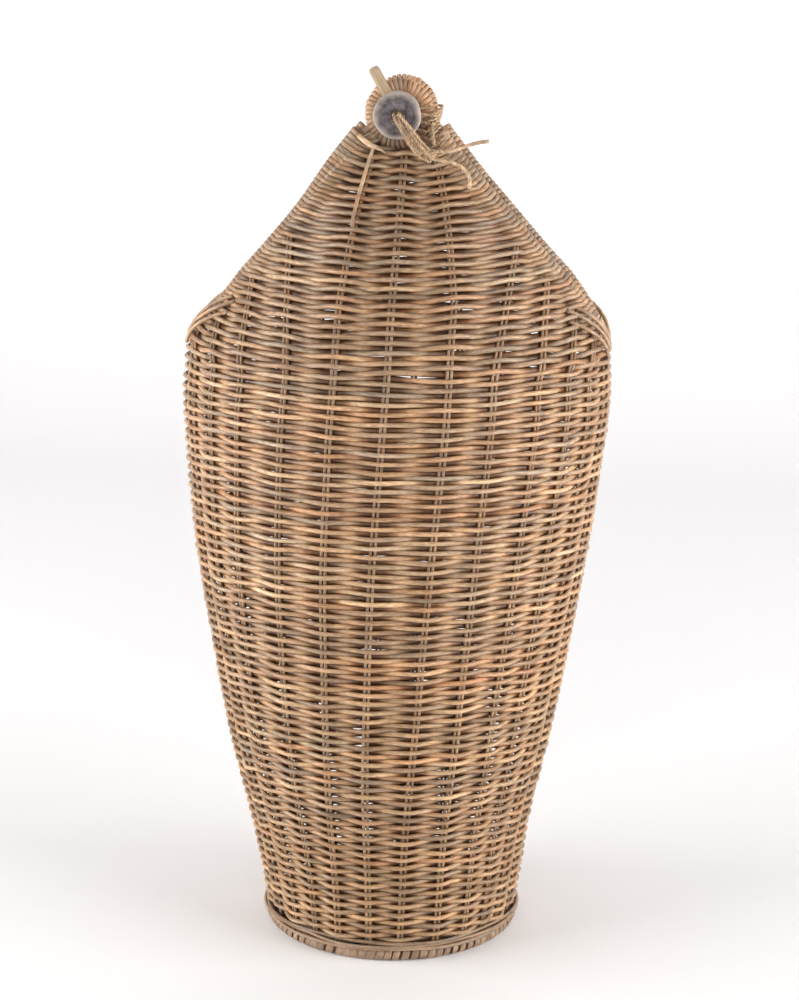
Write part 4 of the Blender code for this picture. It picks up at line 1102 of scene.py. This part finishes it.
def make_stage():
    """A pale floor, which rises behind the part in a curve."""
    material, tree, shader = node_material("pale floor")
    noise = add_node(tree, "TexNoise", {"Scale": 2.0}).outputs["Fac"]
    colour = colour_ramp(tree, noise, (0.0, (0.915, 0.922, 0.932)), (1.0, (0.930, 0.937, 0.947)))
    feed(tree, shader, {"Base Color": colour, "Roughness": 0.9})
    front, back, bend, top, half_width = -2.5, 1.2, 0.8, 3.2, 4.0
    curve = [(back + bend * sin(a), bend - bend * cos(a)) for a in np.linspace(0.1, pi / 2, 14)]
    profile = [(front, 0.0), (back, 0.0), *curve, (back + bend, top)]
    points = [(x, y, z) for x in (-half_width, half_width) for y, z in profile]
    n = len(profile)
    floor = mesh_object("floor", points, [(i, i + n, i + n + 1, i + 1) for i in range(n - 1)], material)


def add_area(name, place, target, size, power, colour):
    light = bpy.data.lights.new(name, "AREA")
    light.shape = "RECTANGLE"
    light.size, light.size_y = size
    light.energy = power
    light.color = colour
    item = add_object(name, light)
    item.location = place
    item.rotation_euler = (Vector(target) - Vector(place)).to_track_quat("-Z", "Y").to_euler()


def make_light():
    """Soft light from both sides, a little from the front, a lit backdrop and a sky that is darker above."""
    world = bpy.data.worlds.new("studio")
    world.use_nodes = True
    tree = world.node_tree
    place = add_node(tree, "TexCoord").outputs["Generated"]
    height = add_node(tree, "SeparateXYZ", {0: place}).outputs["Z"]
    strength = map_range(tree, height, 0.2, 0.9, 0.62, 0.10)
    feed(tree, tree.nodes["Background"], {"Color": (1.0, 0.965, 0.955, 1.0), "Strength": strength})
    bpy.context.scene.world = world
    for name, x in (("left side", -1.6), ("right side", 1.6)):
        add_area(name, (x, -0.5, 0.62), (0, 0, 0.32), (1.5, 1.4), 36.5, (1.0, 0.985, 0.97))
    add_area("front", (0.0, -2.2, 0.7), (0, 0, 0.28), (1.6, 1.2), 7, (1.0, 0.99, 0.975))
    add_area("backdrop", (0.0, 0.75, 2.3), (0, 2.0, 0.5), (3.0, 0.6), 12.5, (1.0, 0.945, 0.935))


PICTURE_HALF, FOCAL_LENGTH = 500, 2356.7  # in pixels


def make_camera():
    azimuth, distance, height, pitch, roll = radians(5.0), 1.4322, 0.6385, radians(14.194), radians(0.768)
    forward = Vector((-sin(azimuth) * cos(pitch), cos(azimuth) * cos(pitch), -sin(pitch)))
    right = forward.cross(Vector((0, 0, 1))).normalized()
    up = right.cross(forward)
    leaned_right = right * cos(roll) + up * sin(roll)
    leaned_up = leaned_right.cross(forward)
    basis = Matrix((leaned_right, leaned_up, -forward)).transposed().to_4x4()
    data = bpy.data.cameras.new("camera")
    data.sensor_fit = "VERTICAL"
    data.angle_y = 2 * np.arctan(PICTURE_HALF / FOCAL_LENGTH)
    data.shift_x = 0.0029
    data.clip_start = 0.05
    item = add_object("camera", data)
    item.matrix_world = Matrix.Translation((distance * sin(azimuth), -distance * cos(azimuth), height)) @ basis
    bpy.context.scene.camera = item
    bpy.context.scene.view_settings.view_transform = "Standard"


# Build all

make_camera()
make_stage()
make_light()
weave = strand_material("weaving cane", fibre=0.62, spots=0.28, roughness=0.42, bump=0.45, specular=0.68)
stake = strand_material("stake cane", fibre=0.25, spots=0.2)
wraps = strand_material("foot cane", fibre=0.35, spots=0.3, roughness=0.55)
cane = strand_material("binding cane", fibre=0.3, spots=0.25, roughness=0.45)
yarn = strand_material("yarn", fibre=0.6, spots=0.35, roughness=0.85, bump=0.6, specular=0.2)
make_twine(yarn)
make_foot(wraps)
make_base(weave, stake)
make_stakes(stake)
make_body(weave)
make_gables(weave)
make_tuck(weave)
make_lashings(cane)
make_rings(stake, cane)
make_closure()
